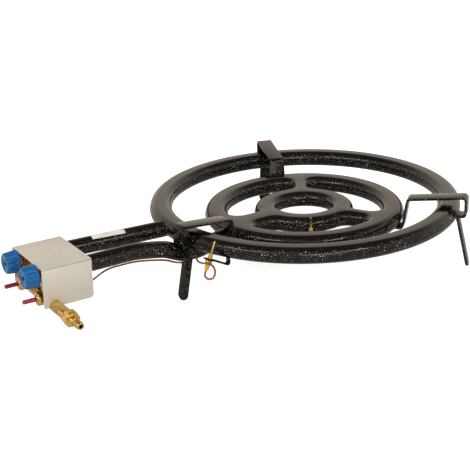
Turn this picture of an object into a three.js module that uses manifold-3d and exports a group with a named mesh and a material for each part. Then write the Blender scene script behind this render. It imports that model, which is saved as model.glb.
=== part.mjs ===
// A two-ring gas paella burner: enamelled pressed-steel burners on three legs, fed through two tubes
// from a steel box that holds the gas taps, the flame-failure buttons and the brass gas inlet.
import * as THREE from 'three';
import { mergeVertices } from 'three/addons/utils/BufferGeometryUtils.js';
import Module from 'manifold-3d';

const wasm = await Module();
wasm.setup();

// Every length is in millimetres. While the pieces are made, X = Y = 0 is the axis of the rings,
// Z = 0 is the middle of the outer ring, and the gas flows along +X from the box to the rings.
const seatGap = 0.3; // left between pieces that are welded, screwed or seated on each other
const overrun = 3; // how far a cutting body runs past what it cuts

// Rings
const outerRingDiameter = 500;
const outerTubeWidth = 34.7;
const outerTubeHeight = 26;
const innerBurnerDiameter = 321.4;
const centreRingDiameter = 160;
const innerTubeWidth = 35.7;
const innerTubeHeight = 26;
const innerBurnerDrop = 16; // of its middle, below the middle of the outer ring
const tubeCornerRadius = 12;
const shellWall = 1.5;
const shellLap = 0.8; // how far the lower shells stand proud at the seam
const bridgeWidth = 30;
const feedBridge = 1; // the bridge beside which the inner tube enters
const feedBridgeReach = 29; // of that bridge, from its middle to its edge on the tube's side
const windowFillet = 14;
const portDiameter = 2.6;
const portDepth = 6;
const portTilt = 40; // degrees up from level

// Feed tubes and the two gas lines
const lineSpacing = 69;
const lineDrop = 3; // of the tubes' and taps' axes, below the middle of the outer ring
const tubeSpacing = 56; // of the feed tubes, where they reach the rings
const feedTubeDiameter = 26;
const feedTubeWall = 1.5;
const dipRun = 118; // along the inner tube, over which it goes down under the outer ring
const dipShares = [[0, 0], [0.2, 0.03], [0.43, 0.2], [0.64, 0.42], [0.78, 0.72], [0.9, 0.95], [1, 1]];
const riseShares = [[0.25, 0.08], [0.55, 0.6], [0.8, 0.93], [1.1, 1]]; // rise, on to the inner burner

// Pan supports and legs
const standHeight = 90; // from the surface it stands on to the middle of the outer ring
const supportWidth = 25;
const legWidth = 20;
const barThickness = 4;
const barBendRadius = 5;
const firstSupportAngle = 72.1; // degrees
const supportOuterRise = 28; // of the top face of the bar, above the middle of the outer ring
const supportInnerRise = 19;
const supportOverhang = 14.5; // of its outer face, past the edge of the outer ring
const supportInnerGap = 8.3; // of its inner drop, from the edge of the inner burner
const supportInnerSlant = 6; // of the inner drop, towards the axis at its foot
const supportLugLength = 20;
const tubeSupport = 1; // the support that stands over the inner tube, on which its inner end rests
const tubeSupportTurn = -0.8; // degrees, of its bar round the rings, from its even place
const tubeSupportSkew = -6.5; // degrees, of its bar about the bar's own middle
const outerLugDrop = 5; // of its middle, below the middle of the outer ring
const legStandOff = 0.5; // of its top's middle, from the edge of the outer ring
const legSpread = 17; // of its foot, beyond its top
const legTopDrop = 12; // of the place where the top reach is measured
const legFootTrim = 0.5; // ground off the round tip

// Control box
const boxLength = 78;
const boxWidth = 110;
const boxHeight = 61;
const boxTopRise = 12.5; // above the middle of the outer ring
const boxDistance = 406; // from the axis of the rings to the box's near wall
const sheetThickness = 1.2;
const boxCornerRadius = 7;
const outerLeadHole = { y: -44, z: -28.5 };
const innerLeadHole = { y: 14, z: -24 };

// Taps, knobs and buttons
const knobDiameter = 36;
const knobFrontDiameter = 31;
const knobLength = 20;
const knobRimThickness = 3;
const knobFluteDepth = 1.3;
const knobStandOff = 1.5; // between the knob and the mouth of the box
const knobHoleDiameter = 4.8;
const knobHoleDepth = 8;
const spindleDiameter = 8;
const plugLargeDiameter = 12;
const plugSmallDiameter = 9.6;
const plugLength = 18;
const tapInset = 6; // from the mouth of the box to the tap's body
const tapBodyLength = 26;
const tapNeckLength = 15; // along the line, where the body stands on the manifold
const tapBodyWidth = 18;
const tapBodyHeight = 19;
const bonnetSize = 15; // across its flats
const bonnetLength = 5.6;
const buttonDrop = 36; // below the tap's axis
const buttonDiameter = 6.6;
const buttonReach = 25; // out of the mouth of the box
const buttonTravel = 5;
const magnetHeadSize = 20; // across its flats
const magnetHeadReach = 3; // out of the mouth of the box
const magnetHeadLength = 11;
const magnetHeadFloor = 1.2;

// Manifold and gas inlet
const manifoldDiameter = 18;
const manifoldBore = 10;
const manifoldInset = 17.5; // of its axis, from the mouth of the box
const manifoldDrop = 47.6; // of its axis, below the middle of the outer ring
const manifoldInletReach = 104; // from the middle of the box
const manifoldPlugReach = 44;
const endPlugSize = 15;
const endPlugLength = 7;
const unionNutSize = 22;
const unionNutLength = 14;
const unionNutOverlap = 5; // over the end of the manifold
const nozzleDiameter = 10;
const nozzleShoulderDiameter = 14;
const nozzleBore = 6;
const nozzleLength = 36;
const nozzleBarbDiameter = 12.4;
const nozzleFlangeDiameter = 16;
const nozzleFlangeLength = 3;
const barbShares = [0.68, 0.71, 0.83, 0.86]; // of the nozzle's length, where the barbs rise and end

// Injectors and air cups
const airCupLength = 20;
const airCupWall = 0.8;
const airCupTubeEntry = 6; // length of feed tube held in the cup
const airWindowWidth = 9;
const injectorHexSize = 10;
const injectorHexLength = 7.4;
const injectorNeckDiameter = 8;
const injectorNoseLength = 8;
const injectorTipDiameter = 3;

// Thermocouples
const probeDiameter = 3.2;
const probeLength = 18;
const sensorBodyDiameter = 7;
const sensorShoulderLength = 9;
const sensorThreadDiameter = 5.6;
const sensorNutSize = 10;
const sensorNutLength = 4;
const sleeveDiameter = 6.8;
const sleeveLength = 11;
const leadDiameter = 3;
const bracketThickness = 2;
const bracketWidth = 10;
const bracketBendRadius = 3;
const connectorSize = 9;
const connectorLength = 8;
const connectorDrop = 27; // below the tap's axis
const outerSensorY = -112;
const outerSensorLean = 22; // degrees
const outerSensorReach = 19.5; // of its axis, out from the edge of the outer ring
const outerSensorDrop = 9.2; // of the bracket there, below the middle of the outer ring
const outerBracketDepth = 12; // that its foot hangs below the outer ring
const outerBracketInset = 12.5; // of its foot, in from the edge of the outer ring
const innerSensorAngle = -117.3; // degrees
const innerSensorReach = 10.5; // of its axis, out from the edge of the centre ring
const innerBracketRise = 6.3;
const bracketArmShare = 0.75; // of the bracket's width, that its arm reaches past the sensor
const innerFootShares = [0.67, 0.17]; // of the inner tube's width, where the foot ends and bends
const outerLeadPlaces = [
  [-252, -112.5, -33], [-247.5, -115, -38.5], [-241.5, -118, -37], [-238.5, -119.5, -29],
  [-241, -120, -19], [-249, -120.5, -12], [-257, -117.5, -10], [-260, -109, -9.5],
  [-257, -99, -9], [-249, -87, -9.5], [-243.5, -74, -14], [-240.5, -60, -20.5],
  [-243, -48, -28], [-247.5, -39.5, -36.5], [-260, -35, -35.2], [-273, -34, -29.5],
  [-298, -34, -23.4], [-325, -34, -19.2], [-350, -34.5, -18.6], [-372, -37, -18.6],
  [-386, -41, -20.8], [-398, -43.5, -25.2], [-407, -44, -28.5], [-420, -36, -33],
  [-433, -10, -36], [-441, 16, -34],
];
const innerLeadPlaces = [
  [-42, -80.3, -47], [-48, -78, -51], [-58, -73, -50], [-75, -66, -43],
  [-100, -57, -36], [-125, -47, -33.5], [-148, -37, -32.8], [-165, -22, -32],
  [-178, -12, -30], [-195, -9, -28], [-215, -8, -24.5], [-232, -8, -20],
  [-250, -6, -17], [-265, 0, -14], [-280, 10, -14.5], [-296, 19, -17.5],
  [-315, 24, -18.6], [-345, 25, -18.4], [-375, 24, -18.8], [-392, 19, -21],
  [-407, 14, -24], [-420, 4, -25.5], [-433, -16, -27],
];

// Numbers of sides and copies
const ringSides = 48;
const tubeSides = 16;
const smallSides = 14;
const leadSides = 6;
const cornerSteps = 3;
const supportCount = 3;
const bridgeCount = 3;
const outerPortCount = 32;
const innerPortCount = 20;
const fluteCount = 12;
const leadSteps = 56;
const dipSteps = 18;

// Sizes that follow
const outerRadius = outerRingDiameter / 2;
const innerRadius = innerBurnerDiameter / 2;
const centreRadius = centreRingDiameter / 2;
const supportOuterReach = outerRadius + supportOverhang;
const supportInnerReach = innerRadius + supportInnerGap;
const supportMiddle = (supportOuterReach + supportInnerReach) / 2;
const legTopReach = outerRadius + legStandOff;
const legFootReach = legTopReach + legSpread;
const innerBottom = -innerBurnerDrop - innerTubeHeight / 2;
const outerBottom = -outerTubeHeight / 2;
const mouthX = -boxDistance - boxLength;
const boxBottom = boxTopRise - boxHeight;
const tubeRadius = feedTubeDiameter / 2;
const manifoldX = mouthX + manifoldInset;
const manifoldRadius = manifoldDiameter / 2;
const tapFrontX = mouthX + tapInset;
const tapRearX = tapFrontX + tapBodyLength;
const cupBackX = tapRearX + 2 * seatGap + injectorHexLength;
const cupFrontX = cupBackX + airCupLength;
const tubeStart = cupFrontX - airCupTubeEntry;
const leadRadius = leadDiameter / 2;
const lines = [
  { name: 'outer', y: lineSpacing / 2 },
  { name: 'inner', y: -lineSpacing / 2 },
];

const enamel = { color: 0x1b1a19, roughness: 0.3, metalness: 0.1 };
const zincSheet = { color: 0xcbc4b4, roughness: 0.45, metalness: 0.3 };
const brass = { color: 0xb98d3e, roughness: 0.3, metalness: 1 };
const bluePlastic = { color: 0x1e6eaf, roughness: 0.45, metalness: 0 };
const redPlastic = { color: 0x9a2840, roughness: 0.4, metalness: 0 };
const steel = { color: 0x9c9a94, roughness: 0.35, metalness: 1 };
const copper = { color: 0xa55f3a, roughness: 0.35, metalness: 1 };
const yellowSleeve = { color: 0xcdb02a, roughness: 0.5, metalness: 0 };

const burner = new THREE.Group();

// Turns a closed three.js geometry into a solid that can be cut and joined.
function solid(geometry) {
  const bare = new THREE.BufferGeometry();
  bare.setAttribute('position', geometry.getAttribute('position').clone());
  if (geometry.index) bare.setIndex(geometry.index.clone());
  const merged = mergeVertices(bare);
  const vertProperties = new Float32Array(merged.getAttribute('position').array);
  const corners = merged.index.array;
  const kept = [];
  let volume = 0;
  const a = new THREE.Vector3();
  const b = new THREE.Vector3();
  const c = new THREE.Vector3();
  for (let i = 0; i < corners.length; i += 3) {
    const [p, q, r] = [corners[i], corners[i + 1], corners[i + 2]];
    if (p === q || q === r || r === p) continue;
    kept.push(p, q, r);
    a.fromArray(vertProperties, p * 3);
    b.fromArray(vertProperties, q * 3);
    c.fromArray(vertProperties, r * 3);
    volume += a.dot(b.cross(c));
  }
  if (volume < 0) {
    for (let i = 0; i < kept.length; i += 3) [kept[i + 1], kept[i + 2]] = [kept[i + 2], kept[i + 1]];
  }
  const triVerts = new Uint32Array(kept);
  return new wasm.Manifold(new wasm.Mesh({ numProp: 3, vertProperties, triVerts }));
}

// Adds a solid to a group as a named mesh with its own material.
function piece(name, body, finish, parent = burner) {
  const result = body.getMesh();
  const stride = result.numProp;
  const count = result.vertProperties.length / stride;
  const places = new Float32Array(count * 3);
  for (let i = 0; i < count; i += 1) {
    for (let k = 0; k < 3; k += 1) places[i * 3 + k] = result.vertProperties[i * stride + k];
  }
  const geometry = new THREE.BufferGeometry();
  geometry.setAttribute('position', new THREE.BufferAttribute(places, 3));
  geometry.setIndex(new THREE.BufferAttribute(new Uint32Array(result.triVerts), 1));
  geometry.computeVertexNormals();
  const mesh = new THREE.Mesh(geometry, new THREE.MeshStandardMaterial(finish));
  mesh.name = name;
  parent.add(mesh);
  return mesh;
}

// Outlines
const point = (x, y) => new THREE.Vector2(x, y);
const polar = (radius, angle) => point(radius * Math.cos(angle), radius * Math.sin(angle));
const radians = THREE.MathUtils.degToRad;

function arc(x, y, radius, from, to, steps) {
  const points = [];
  for (let i = 0; i <= steps; i += 1) {
    const place = polar(radius, from + ((to - from) * i) / steps);
    points.push(place.add(point(x, y)));
  }
  return points;
}

function polygon(radius, sides, turn = 0) {
  return arc(0, 0, radius, turn, turn + 2 * Math.PI, sides).slice(0, sides);
}

const hexagon = (acrossFlats) => polygon(acrossFlats / 2 / Math.cos(Math.PI / 6), 6);

// Thickens a centre line with rounded bends into the outline of a bent bar.
function barOutline(places, thickness, bendRadius, steps = cornerSteps) {
  const line = [places[0]];
  for (let i = 1; i < places.length - 1; i += 1) {
    const corner = places[i];
    const back = places[i - 1].clone().sub(corner).normalize();
    const ahead = places[i + 1].clone().sub(corner).normalize();
    const half = back.angleTo(ahead) / 2;
    const middle = back.clone().add(ahead).setLength(bendRadius / Math.sin(half)).add(corner);
    const start = corner.clone().add(back.multiplyScalar(bendRadius / Math.tan(half))).sub(middle);
    const end = corner.clone().add(ahead.multiplyScalar(bendRadius / Math.tan(half))).sub(middle);
    let sweep = end.angle() - start.angle();
    if (sweep > Math.PI) sweep -= 2 * Math.PI;
    if (sweep < -Math.PI) sweep += 2 * Math.PI;
    line.push(...arc(middle.x, middle.y, bendRadius, start.angle(), start.angle() + sweep, steps));
  }
  line.push(places[places.length - 1]);
  const left = [];
  const right = [];
  line.forEach((place, i) => {
    const before = line[Math.max(i - 1, 0)];
    const after = line[Math.min(i + 1, line.length - 1)];
    const along = after.clone().sub(before).normalize();
    const across = point(-along.y, along.x).multiplyScalar(thickness / 2);
    left.push(place.clone().add(across));
    right.push(place.clone().sub(across));
  });
  return [...left, ...right.reverse()];
}

// Solids from outlines
function extruded(outline, depth, holes = []) {
  const shape = new THREE.Shape(outline);
  holes.forEach((hole) => shape.holes.push(new THREE.Path(hole)));
  return new THREE.ExtrudeGeometry(shape, { depth, bevelEnabled: false });
}

// A prism whose outline lies in the XZ plane, centred on y.
function acrossY(outline, width, y = 0) {
  return extruded(outline, width).rotateX(Math.PI / 2).translate(0, y + width / 2, 0);
}

// A prism or tube along X from one place to another, about an axis at (y, z).
function alongX(outline, from, to, y, z, holes = []) {
  return extruded(outline, to - from, holes).rotateX(Math.PI / 2).rotateZ(Math.PI / 2).translate(from, y, z);
}

// A prism or tube along Y from one place to another, about an axis at (x, z).
function alongY(outline, from, to, x, z, holes = []) {
  return extruded(outline, to - from, holes).rotateX(Math.PI / 2).translate(x, to, z);
}

// A solid turned about Z from a profile of [radius, height] points that close on the axis or on themselves.
function turned(profile, sides) {
  const points = profile.map(([radius, height]) => point(radius, height));
  return new THREE.LatheGeometry(points, sides).rotateX(Math.PI / 2);
}

function slab(x0, x1, y0, y1, z0, z1) {
  const box = new THREE.BoxGeometry(x1 - x0, y1 - y0, z1 - z0);
  return solid(box.translate((x0 + x1) / 2, (y0 + y1) / 2, (z0 + z1) / 2));
}

function tubeAlong(places, radius, sides, steps, bore = 0) {
  const section = new THREE.Shape(polygon(radius, sides));
  if (bore > 0) section.holes.push(new THREE.Path(polygon(bore, sides)));
  const extrudePath = new THREE.CatmullRomCurve3(places, false, 'centripetal');
  return new THREE.ExtrudeGeometry(section, { steps, extrudePath, bevelEnabled: false });
}

const place3 = (x, y, z) => new THREE.Vector3(x, y, z);

// Outer ring: two pressed channels turned about Z, which meet at a seam.
function halfSection(grow, side, steps) {
  const halfWidth = outerTubeWidth / 2 + grow;
  const halfHeight = outerTubeHeight / 2 + Math.min(grow, 0);
  const corner = tubeCornerRadius + grow;
  const centre = outerRadius - outerTubeWidth / 2;
  const outside = arc(halfWidth - corner, halfHeight - corner, corner, 0, Math.PI / 2, steps);
  const points = [point(halfWidth, 0), ...outside];
  const across = points.map((place) => point(-place.x, place.y)).reverse();
  return [...points, ...across].map((place) => [centre + place.x, side * place.y]);
}

function ringShell(side) {
  const proud = side > 0 ? 0 : shellLap;
  const outside = halfSection(proud, side, cornerSteps);
  const inside = halfSection(-shellWall, side, cornerSteps - 1).reverse();
  return solid(turned([...outside, ...inside, outside[0]], ringSides));
}

// The outer ring's whole outer form, to cut the pieces that end against it.
function ringForm(turn = 0) {
  const grow = shellLap + seatGap;
  const centre = outerRadius - outerTubeWidth / 2;
  const halfWidth = outerTubeWidth / 2 + grow;
  const halfHeight = outerTubeHeight / 2 + seatGap;
  const corner = tubeCornerRadius + grow;
  const quarter = arc(halfWidth - corner, halfHeight - corner, corner, 0, Math.PI / 2, cornerSteps);
  const left = quarter.map((place) => point(-place.x, place.y)).reverse();
  const top = [...quarter, ...left];
  const bottom = top.map((place) => point(-place.x, -place.y));
  const loop = [...top, ...bottom, top[0]].map((place) => [centre + place.x, place.y]);
  return solid(turned(loop, ringSides).rotateZ(-turn));
}

// One row of flame ports, as pegs to cut with, on the rounded top edge at a radius.
function portPegs(radius, count, outward, z) {
  const pegs = [];
  const tilt = radians(portTilt);
  for (let i = 0; i < count; i += 1) {
    const angle = (2 * Math.PI * (i + 0.5)) / count;
    const peg = alongX(polygon(portDiameter / 2, 6), -portDepth, portDepth, 0, 0);
    peg.rotateY(-tilt).translate(tubeCornerRadius * Math.cos(tilt), 0, tubeCornerRadius * Math.sin(tilt));
    if (!outward) peg.rotateZ(Math.PI);
    const centre = outward ? radius - tubeCornerRadius : radius + tubeCornerRadius;
    peg.translate(centre, 0, z).rotateZ(angle);
    pegs.push(solid(peg));
  }
  return pegs;
}

const cutAll = (body, tools) => tools.reduce((left, tool) => left.subtract(tool), body);

const lineAxis = -lineDrop;
const outerPortHeight = outerTubeHeight / 2 - tubeCornerRadius;
const innerPortHeight = -innerBurnerDrop + innerTubeHeight / 2 - tubeCornerRadius;
const boreRadius = tubeRadius - feedTubeWall;
const outerTubeY = tubeSpacing / 2;
const outerGasWay = solid(alongX(
  polygon(boreRadius, tubeSides), -outerRadius - overrun, -outerRadius + outerTubeWidth / 2,
  outerTubeY, lineAxis));

const outerPorts = [
  ...portPegs(outerRadius, outerPortCount, true, outerPortHeight),
  ...portPegs(outerRadius - outerTubeWidth, outerPortCount, false, outerPortHeight),
];
piece('outer_ring_upper_shell', cutAll(ringShell(1), [outerGasWay, ...outerPorts]), enamel);
piece('outer_ring_lower_shell', ringShell(-1).subtract(outerGasWay), enamel);

// Inner burner: a ring and a centre ring joined by bridges, pressed as one channel form.
function windowCorners(angle, side, bridgeReach) {
  const edge = bridgeReach + windowFillet;
  const outX = Math.sqrt((innerRadius - innerTubeWidth - windowFillet) ** 2 - edge ** 2);
  const inX = Math.sqrt((centreRadius + windowFillet) ** 2 - edge ** 2);
  const seat = (x) => point(x, side * edge).rotateAround(point(0, 0), angle);
  return { out: seat(outX), in: seat(inX), outTurn: Math.atan2(edge, outX), inTurn: Math.atan2(edge, inX) };
}

function kidneyWindow(index) {
  const near = radians((360 * (index + 0.5)) / bridgeCount);
  const far = radians((360 * (index + 1.5)) / bridgeCount);
  const big = innerRadius - innerTubeWidth;
  const nearSide = windowCorners(near, 1, index === feedBridge ? feedBridgeReach : bridgeWidth / 2);
  const farSide = windowCorners(far, -1, bridgeWidth / 2);
  const [farOut, farIn, nearIn, nearOut] = [farSide.out, farSide.in, nearSide.in, nearSide.out];
  const quarter = Math.PI / 2;
  const arcs = [
    arc(0, 0, big, near + nearSide.outTurn, far - farSide.outTurn, cornerSteps * 3).slice(0, -1),
    arc(farOut.x, farOut.y, windowFillet, far - farSide.outTurn, far + quarter, cornerSteps),
    arc(farIn.x, farIn.y, windowFillet, far + quarter, far + Math.PI - farSide.inTurn, cornerSteps - 1)
      .slice(0, -1),
    arc(0, 0, centreRadius, far - farSide.inTurn, near + nearSide.inTurn, cornerSteps * 2).slice(0, -1),
    arc(nearIn.x, nearIn.y, windowFillet, near + nearSide.inTurn + Math.PI, near + 3 * quarter,
      cornerSteps - 1),
    arc(nearOut.x, nearOut.y, windowFillet, near - quarter, near + nearSide.outTurn, cornerSteps)
      .slice(0, -1),
  ];
  return arcs.flat();
}

const innerOutline = new THREE.Shape(polygon(innerRadius, ringSides));
for (let i = 0; i < bridgeCount; i += 1) innerOutline.holes.push(new THREE.Path(kidneyWindow(i)));
innerOutline.holes.push(new THREE.Path(polygon(centreRadius - innerTubeWidth, ringSides / 2)));

// The burner's full form with rounded edges, grown or shrunk on every side.
function innerForm(grow, growUp, steps = cornerSteps) {
  const corner = tubeCornerRadius + Math.min(grow, growUp);
  const halfHeight = innerTubeHeight / 2 + growUp;
  const form = new THREE.ExtrudeGeometry(innerOutline, {
    depth: 2 * (halfHeight - corner),
    bevelThickness: corner,
    bevelSize: corner,
    bevelOffset: grow - corner,
    bevelSegments: steps,
  });
  return solid(form.translate(0, 0, corner - halfHeight - innerBurnerDrop));
}

const innerSeam = -innerBurnerDrop;
const wide = innerRadius + shellLap + overrun;
const aboveSeam = slab(-wide, wide, -wide, wide, innerSeam, innerSeam + innerTubeHeight);
const belowSeam = slab(-wide, wide, -wide, wide, innerSeam - innerTubeHeight, innerSeam);
const innerHollow = innerForm(-shellWall, -shellWall, cornerSteps - 1);
const innerTubeY = -tubeSpacing / 2;
const innerGasWay = solid(alongX(
  polygon(boreRadius, tubeSides), -innerRadius - overrun, -innerRadius + innerTubeWidth / 2,
  innerTubeY, -innerBurnerDrop));
const innerPorts = [
  ...portPegs(innerRadius, innerPortCount, true, innerPortHeight),
  ...portPegs(centreRadius - innerTubeWidth, innerPortCount / 2, false, innerPortHeight),
];
const innerUpper = innerForm(0, 0).subtract(innerHollow).subtract(belowSeam);
const innerLower = innerForm(shellLap, 0).subtract(innerHollow).subtract(aboveSeam);
piece('inner_burner_upper_shell', cutAll(innerUpper, [innerGasWay, ...innerPorts]), enamel);
piece('inner_burner_lower_shell', innerLower.subtract(innerGasWay), enamel);

// Feed tubes: the outer ring's runs level into its side, the inner burner's dips under the outer ring.
const shiftX = -boxDistance + tubeRadius;
const outerTubeRoute = [
  place3(tubeStart, lines[0].y, lineAxis),
  place3(shiftX, lines[0].y, lineAxis),
  place3(-outerRadius, outerTubeY, lineAxis),
  place3(-outerRadius + outerTubeWidth / 2, outerTubeY, lineAxis),
];
const outerTube = solid(tubeAlong(outerTubeRoute, tubeRadius, tubeSides, dipSteps, boreRadius));
piece('outer_feed_tube', outerTube.subtract(ringForm()), enamel);

const dipAxis = outerBottom - tubeRadius - 3 * seatGap;
const dipX = -Math.sqrt((outerRadius - outerTubeWidth / 2) ** 2 - innerTubeY ** 2);
const innerEdgeX = -Math.sqrt(innerRadius ** 2 - innerTubeY ** 2);
const shiftedY = (x) => THREE.MathUtils.mapLinear(x, shiftX, dipX, lines[1].y, innerTubeY);
const innerTubeRoute = [
  place3(tubeStart, lines[1].y, lineAxis),
  place3(shiftX, lines[1].y, lineAxis),
  ...dipShares.map(([run, drop]) => {
    const x = dipX - dipRun * (1 - run);
    return place3(x, shiftedY(x), THREE.MathUtils.lerp(lineAxis, dipAxis, drop));
  }),
  ...riseShares.map(([run, rise]) => place3(
    THREE.MathUtils.lerp(dipX, innerEdgeX, run), innerTubeY,
    THREE.MathUtils.lerp(dipAxis, -innerBurnerDrop, rise))),
];
const innerTube = solid(tubeAlong(innerTubeRoute, tubeRadius, tubeSides, dipSteps, boreRadius));
piece('inner_feed_tube', innerTube.subtract(innerForm(shellLap + seatGap, seatGap)), enamel);

// Pan supports: bars bent over the outer ring, and the legs under their outer lugs.
const lugRise = innerBottom - seatGap - barThickness / 2;
const innerLug = [
  point(supportInnerReach - supportInnerSlant - supportLugLength, lugRise),
  point(supportInnerReach - supportInnerSlant, lugRise),
];
const innerDrop = [point(supportInnerReach, -innerBurnerDrop + tubeRadius / 2)];
const supportTop = [
  point(supportInnerReach + barThickness / 2, supportInnerRise - barThickness / 2),
  point(supportOuterReach - barThickness / 2, supportOuterRise - barThickness / 2),
  point(supportOuterReach - barThickness / 2, -outerLugDrop),
  point(outerRadius - shellWall, -outerLugDrop),
];
const tubeRoom = solid(tubeAlong(innerTubeRoute, tubeRadius + seatGap, tubeSides, dipSteps));

function panSupport(index, angle) {
  const places = [...(index === tubeSupport ? innerDrop : innerLug), ...supportTop];
  const skew = index === tubeSupport ? radians(tubeSupportSkew) : 0;
  const bar = acrossY(barOutline(places, barThickness, barBendRadius), supportWidth);
  bar.translate(-supportMiddle, 0, 0).rotateZ(skew).translate(supportMiddle, 0, 0);
  return cutAll(solid(bar), [tubeRoom.rotate(0, 0, -THREE.MathUtils.radToDeg(angle)), ringForm(angle)]);
}

const legTop = -outerLugDrop - barThickness / 2 - seatGap;
const legLean = Math.atan((legFootReach - legTopReach) / (standHeight - legTopDrop));
const legLength = standHeight / Math.cos(legLean) + overrun;
const legOutline = [
  point(legWidth / 2, legLength),
  point(-legWidth / 2, legLength),
  ...arc(0, legWidth / 2, legWidth / 2, Math.PI, 2 * Math.PI, cornerSteps * 4),
];

function leg(angle) {
  const plate = extruded(legOutline, barThickness).translate(0, 0, -barThickness / 2);
  plate.rotateX(Math.PI / 2).rotateZ(Math.PI / 2).rotateY(-legLean);
  plate.translate(legFootReach, 0, -standHeight - legFootTrim);
  const spread = outerRadius + standHeight;
  const ground = slab(0, spread, -legWidth, legWidth, -standHeight - legWidth, -standHeight);
  const above = slab(0, spread, -legWidth, legWidth, legTop, legTop + legWidth);
  return cutAll(solid(plate), [ground, above, ringForm(angle)]);
}

function standAt(angle) {
  const stand = new THREE.Group();
  stand.rotation.z = angle;
  burner.add(stand);
  return stand;
}

for (let i = 0; i < supportCount; i += 1) {
  const angle = radians(firstSupportAngle + (360 * i) / supportCount);
  const barAngle = i === tubeSupport ? angle + radians(tubeSupportTurn) : angle;
  piece(`pan_support_${i + 1}`, panSupport(i, barAngle), enamel, standAt(barAngle));
  piece(`leg_${i + 1}`, leg(angle), enamel, standAt(angle));
}

// Control box: a folded body open at the knobs and below, and a lid that drops between its sides.
const lidUnder = boxTopRise - sheetThickness;
const wallX = -boxDistance;
const boxSide = boxWidth / 2;

function boxBody() {
  const outside = slab(mouthX, wallX, -boxSide, boxSide, boxBottom, lidUnder);
  const inner = boxSide - sheetThickness;
  const inside = slab(
    mouthX - overrun, wallX - sheetThickness, -inner, inner, boxBottom - overrun, lidUnder + overrun);
  const cornerX = wallX - boxCornerRadius;
  const cornerZ = boxBottom + boxCornerRadius;
  const cornerTool = [
    point(wallX + overrun, boxBottom - overrun),
    point(wallX + overrun, cornerZ),
    ...arc(cornerX, cornerZ, boxCornerRadius, 0, -Math.PI / 2, cornerSteps * 2),
    point(cornerX, boxBottom - overrun),
  ];
  const tubeHoles = lines.map((line) => solid(alongX(
    polygon(tubeRadius + seatGap, tubeSides), wallX - boxCornerRadius, wallX + overrun, line.y, lineAxis)));
  const leadBore = polygon(leadRadius + 2 * seatGap, smallSides);
  const leadHoles = [outerLeadHole, innerLeadHole].map((hole) => solid(alongX(
    leadBore, wallX - boxCornerRadius, wallX + overrun, hole.y, hole.z)));
  const notch = solid(alongY(
    polygon(manifoldRadius + seatGap, tubeSides), -boxSide - overrun, 0, manifoldX, -manifoldDrop));
  const corner = solid(acrossY(cornerTool, boxWidth + overrun));
  return cutAll(outside, [inside, corner, ...tubeHoles, ...leadHoles, notch]);
}

function boxLid() {
  const flangeDepth = 5 * sheetThickness;
  const flangeSide = boxSide - sheetThickness - seatGap;
  const plate = slab(mouthX, wallX, -boxSide, boxSide, lidUnder, boxTopRise);
  const flanges = [-1, 1].map((side) => {
    const edges = [side * flangeSide, side * (flangeSide - sheetThickness)].sort((a, b) => a - b);
    const end = wallX - sheetThickness - seatGap;
    return slab(mouthX + sheetThickness, end, ...edges, lidUnder - flangeDepth, lidUnder + seatGap);
  });
  return plate.add(flanges[0]).add(flanges[1]);
}

piece('control_box_body', boxBody(), zincSheet);
piece('control_box_lid', boxLid(), zincSheet);

// Manifold across the box, with its plug and the hose end
const inletY = -manifoldInletReach;
const manifoldZ = -manifoldDrop;
piece('manifold_tube', solid(alongY(
  polygon(manifoldRadius, tubeSides), inletY, manifoldPlugReach, manifoldX, manifoldZ,
  [polygon(manifoldBore / 2, smallSides)])), brass);
piece('manifold_end_plug', solid(alongY(
  hexagon(endPlugSize), manifoldPlugReach + seatGap, manifoldPlugReach + seatGap + endPlugLength,
  manifoldX, manifoldZ)), brass);

const nutNearY = inletY + unionNutOverlap;
const nutFarY = nutNearY - unionNutLength;
const shoulderY = inletY - nozzleFlangeLength - 2 * seatGap;
const nozzleRadius = nozzleDiameter / 2;
const acrossManifold = (outline, from, to) => solid(alongY(outline, from, to, manifoldX, manifoldZ));
piece('inlet_union_nut', cutAll(acrossManifold(hexagon(unionNutSize), nutFarY, nutNearY), [
  acrossManifold(polygon(manifoldRadius + seatGap, tubeSides), shoulderY, nutNearY + overrun),
  acrossManifold(polygon(nozzleRadius + seatGap, tubeSides), nutFarY - overrun, shoulderY + overrun),
]), brass);

const nutLeft = unionNutLength - unionNutOverlap;
const nozzleProfile = [
  [nozzleBore / 2, 0],
  [nozzleFlangeDiameter / 2, 0],
  [nozzleFlangeDiameter / 2, nozzleFlangeLength],
  [nozzleRadius, nozzleFlangeLength],
  [nozzleRadius, nutLeft],
  [nozzleShoulderDiameter / 2, nutLeft],
  [nozzleRadius, nutLeft + nozzleShoulderDiameter / 2],
  [nozzleRadius, barbShares[0] * nozzleLength],
  [nozzleBarbDiameter / 2, barbShares[1] * nozzleLength],
  [nozzleRadius, barbShares[2] * nozzleLength],
  [nozzleBarbDiameter / 2, barbShares[3] * nozzleLength],
  [nozzleRadius, nozzleLength],
  [nozzleBore / 2, nozzleLength],
  [nozzleBore / 2, 0],
];
const nozzle = turned(nozzleProfile, smallSides).rotateX(Math.PI / 2);
piece('hose_nozzle', solid(nozzle.translate(manifoldX, inletY - seatGap, manifoldZ)), brass);

// Solid turned about the gas line's own direction, from [radius, x] points
function turnedAlongX(profile, sides, z) {
  return solid(turned(profile, sides).rotateY(Math.PI / 2).translate(0, 0, z));
}

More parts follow.
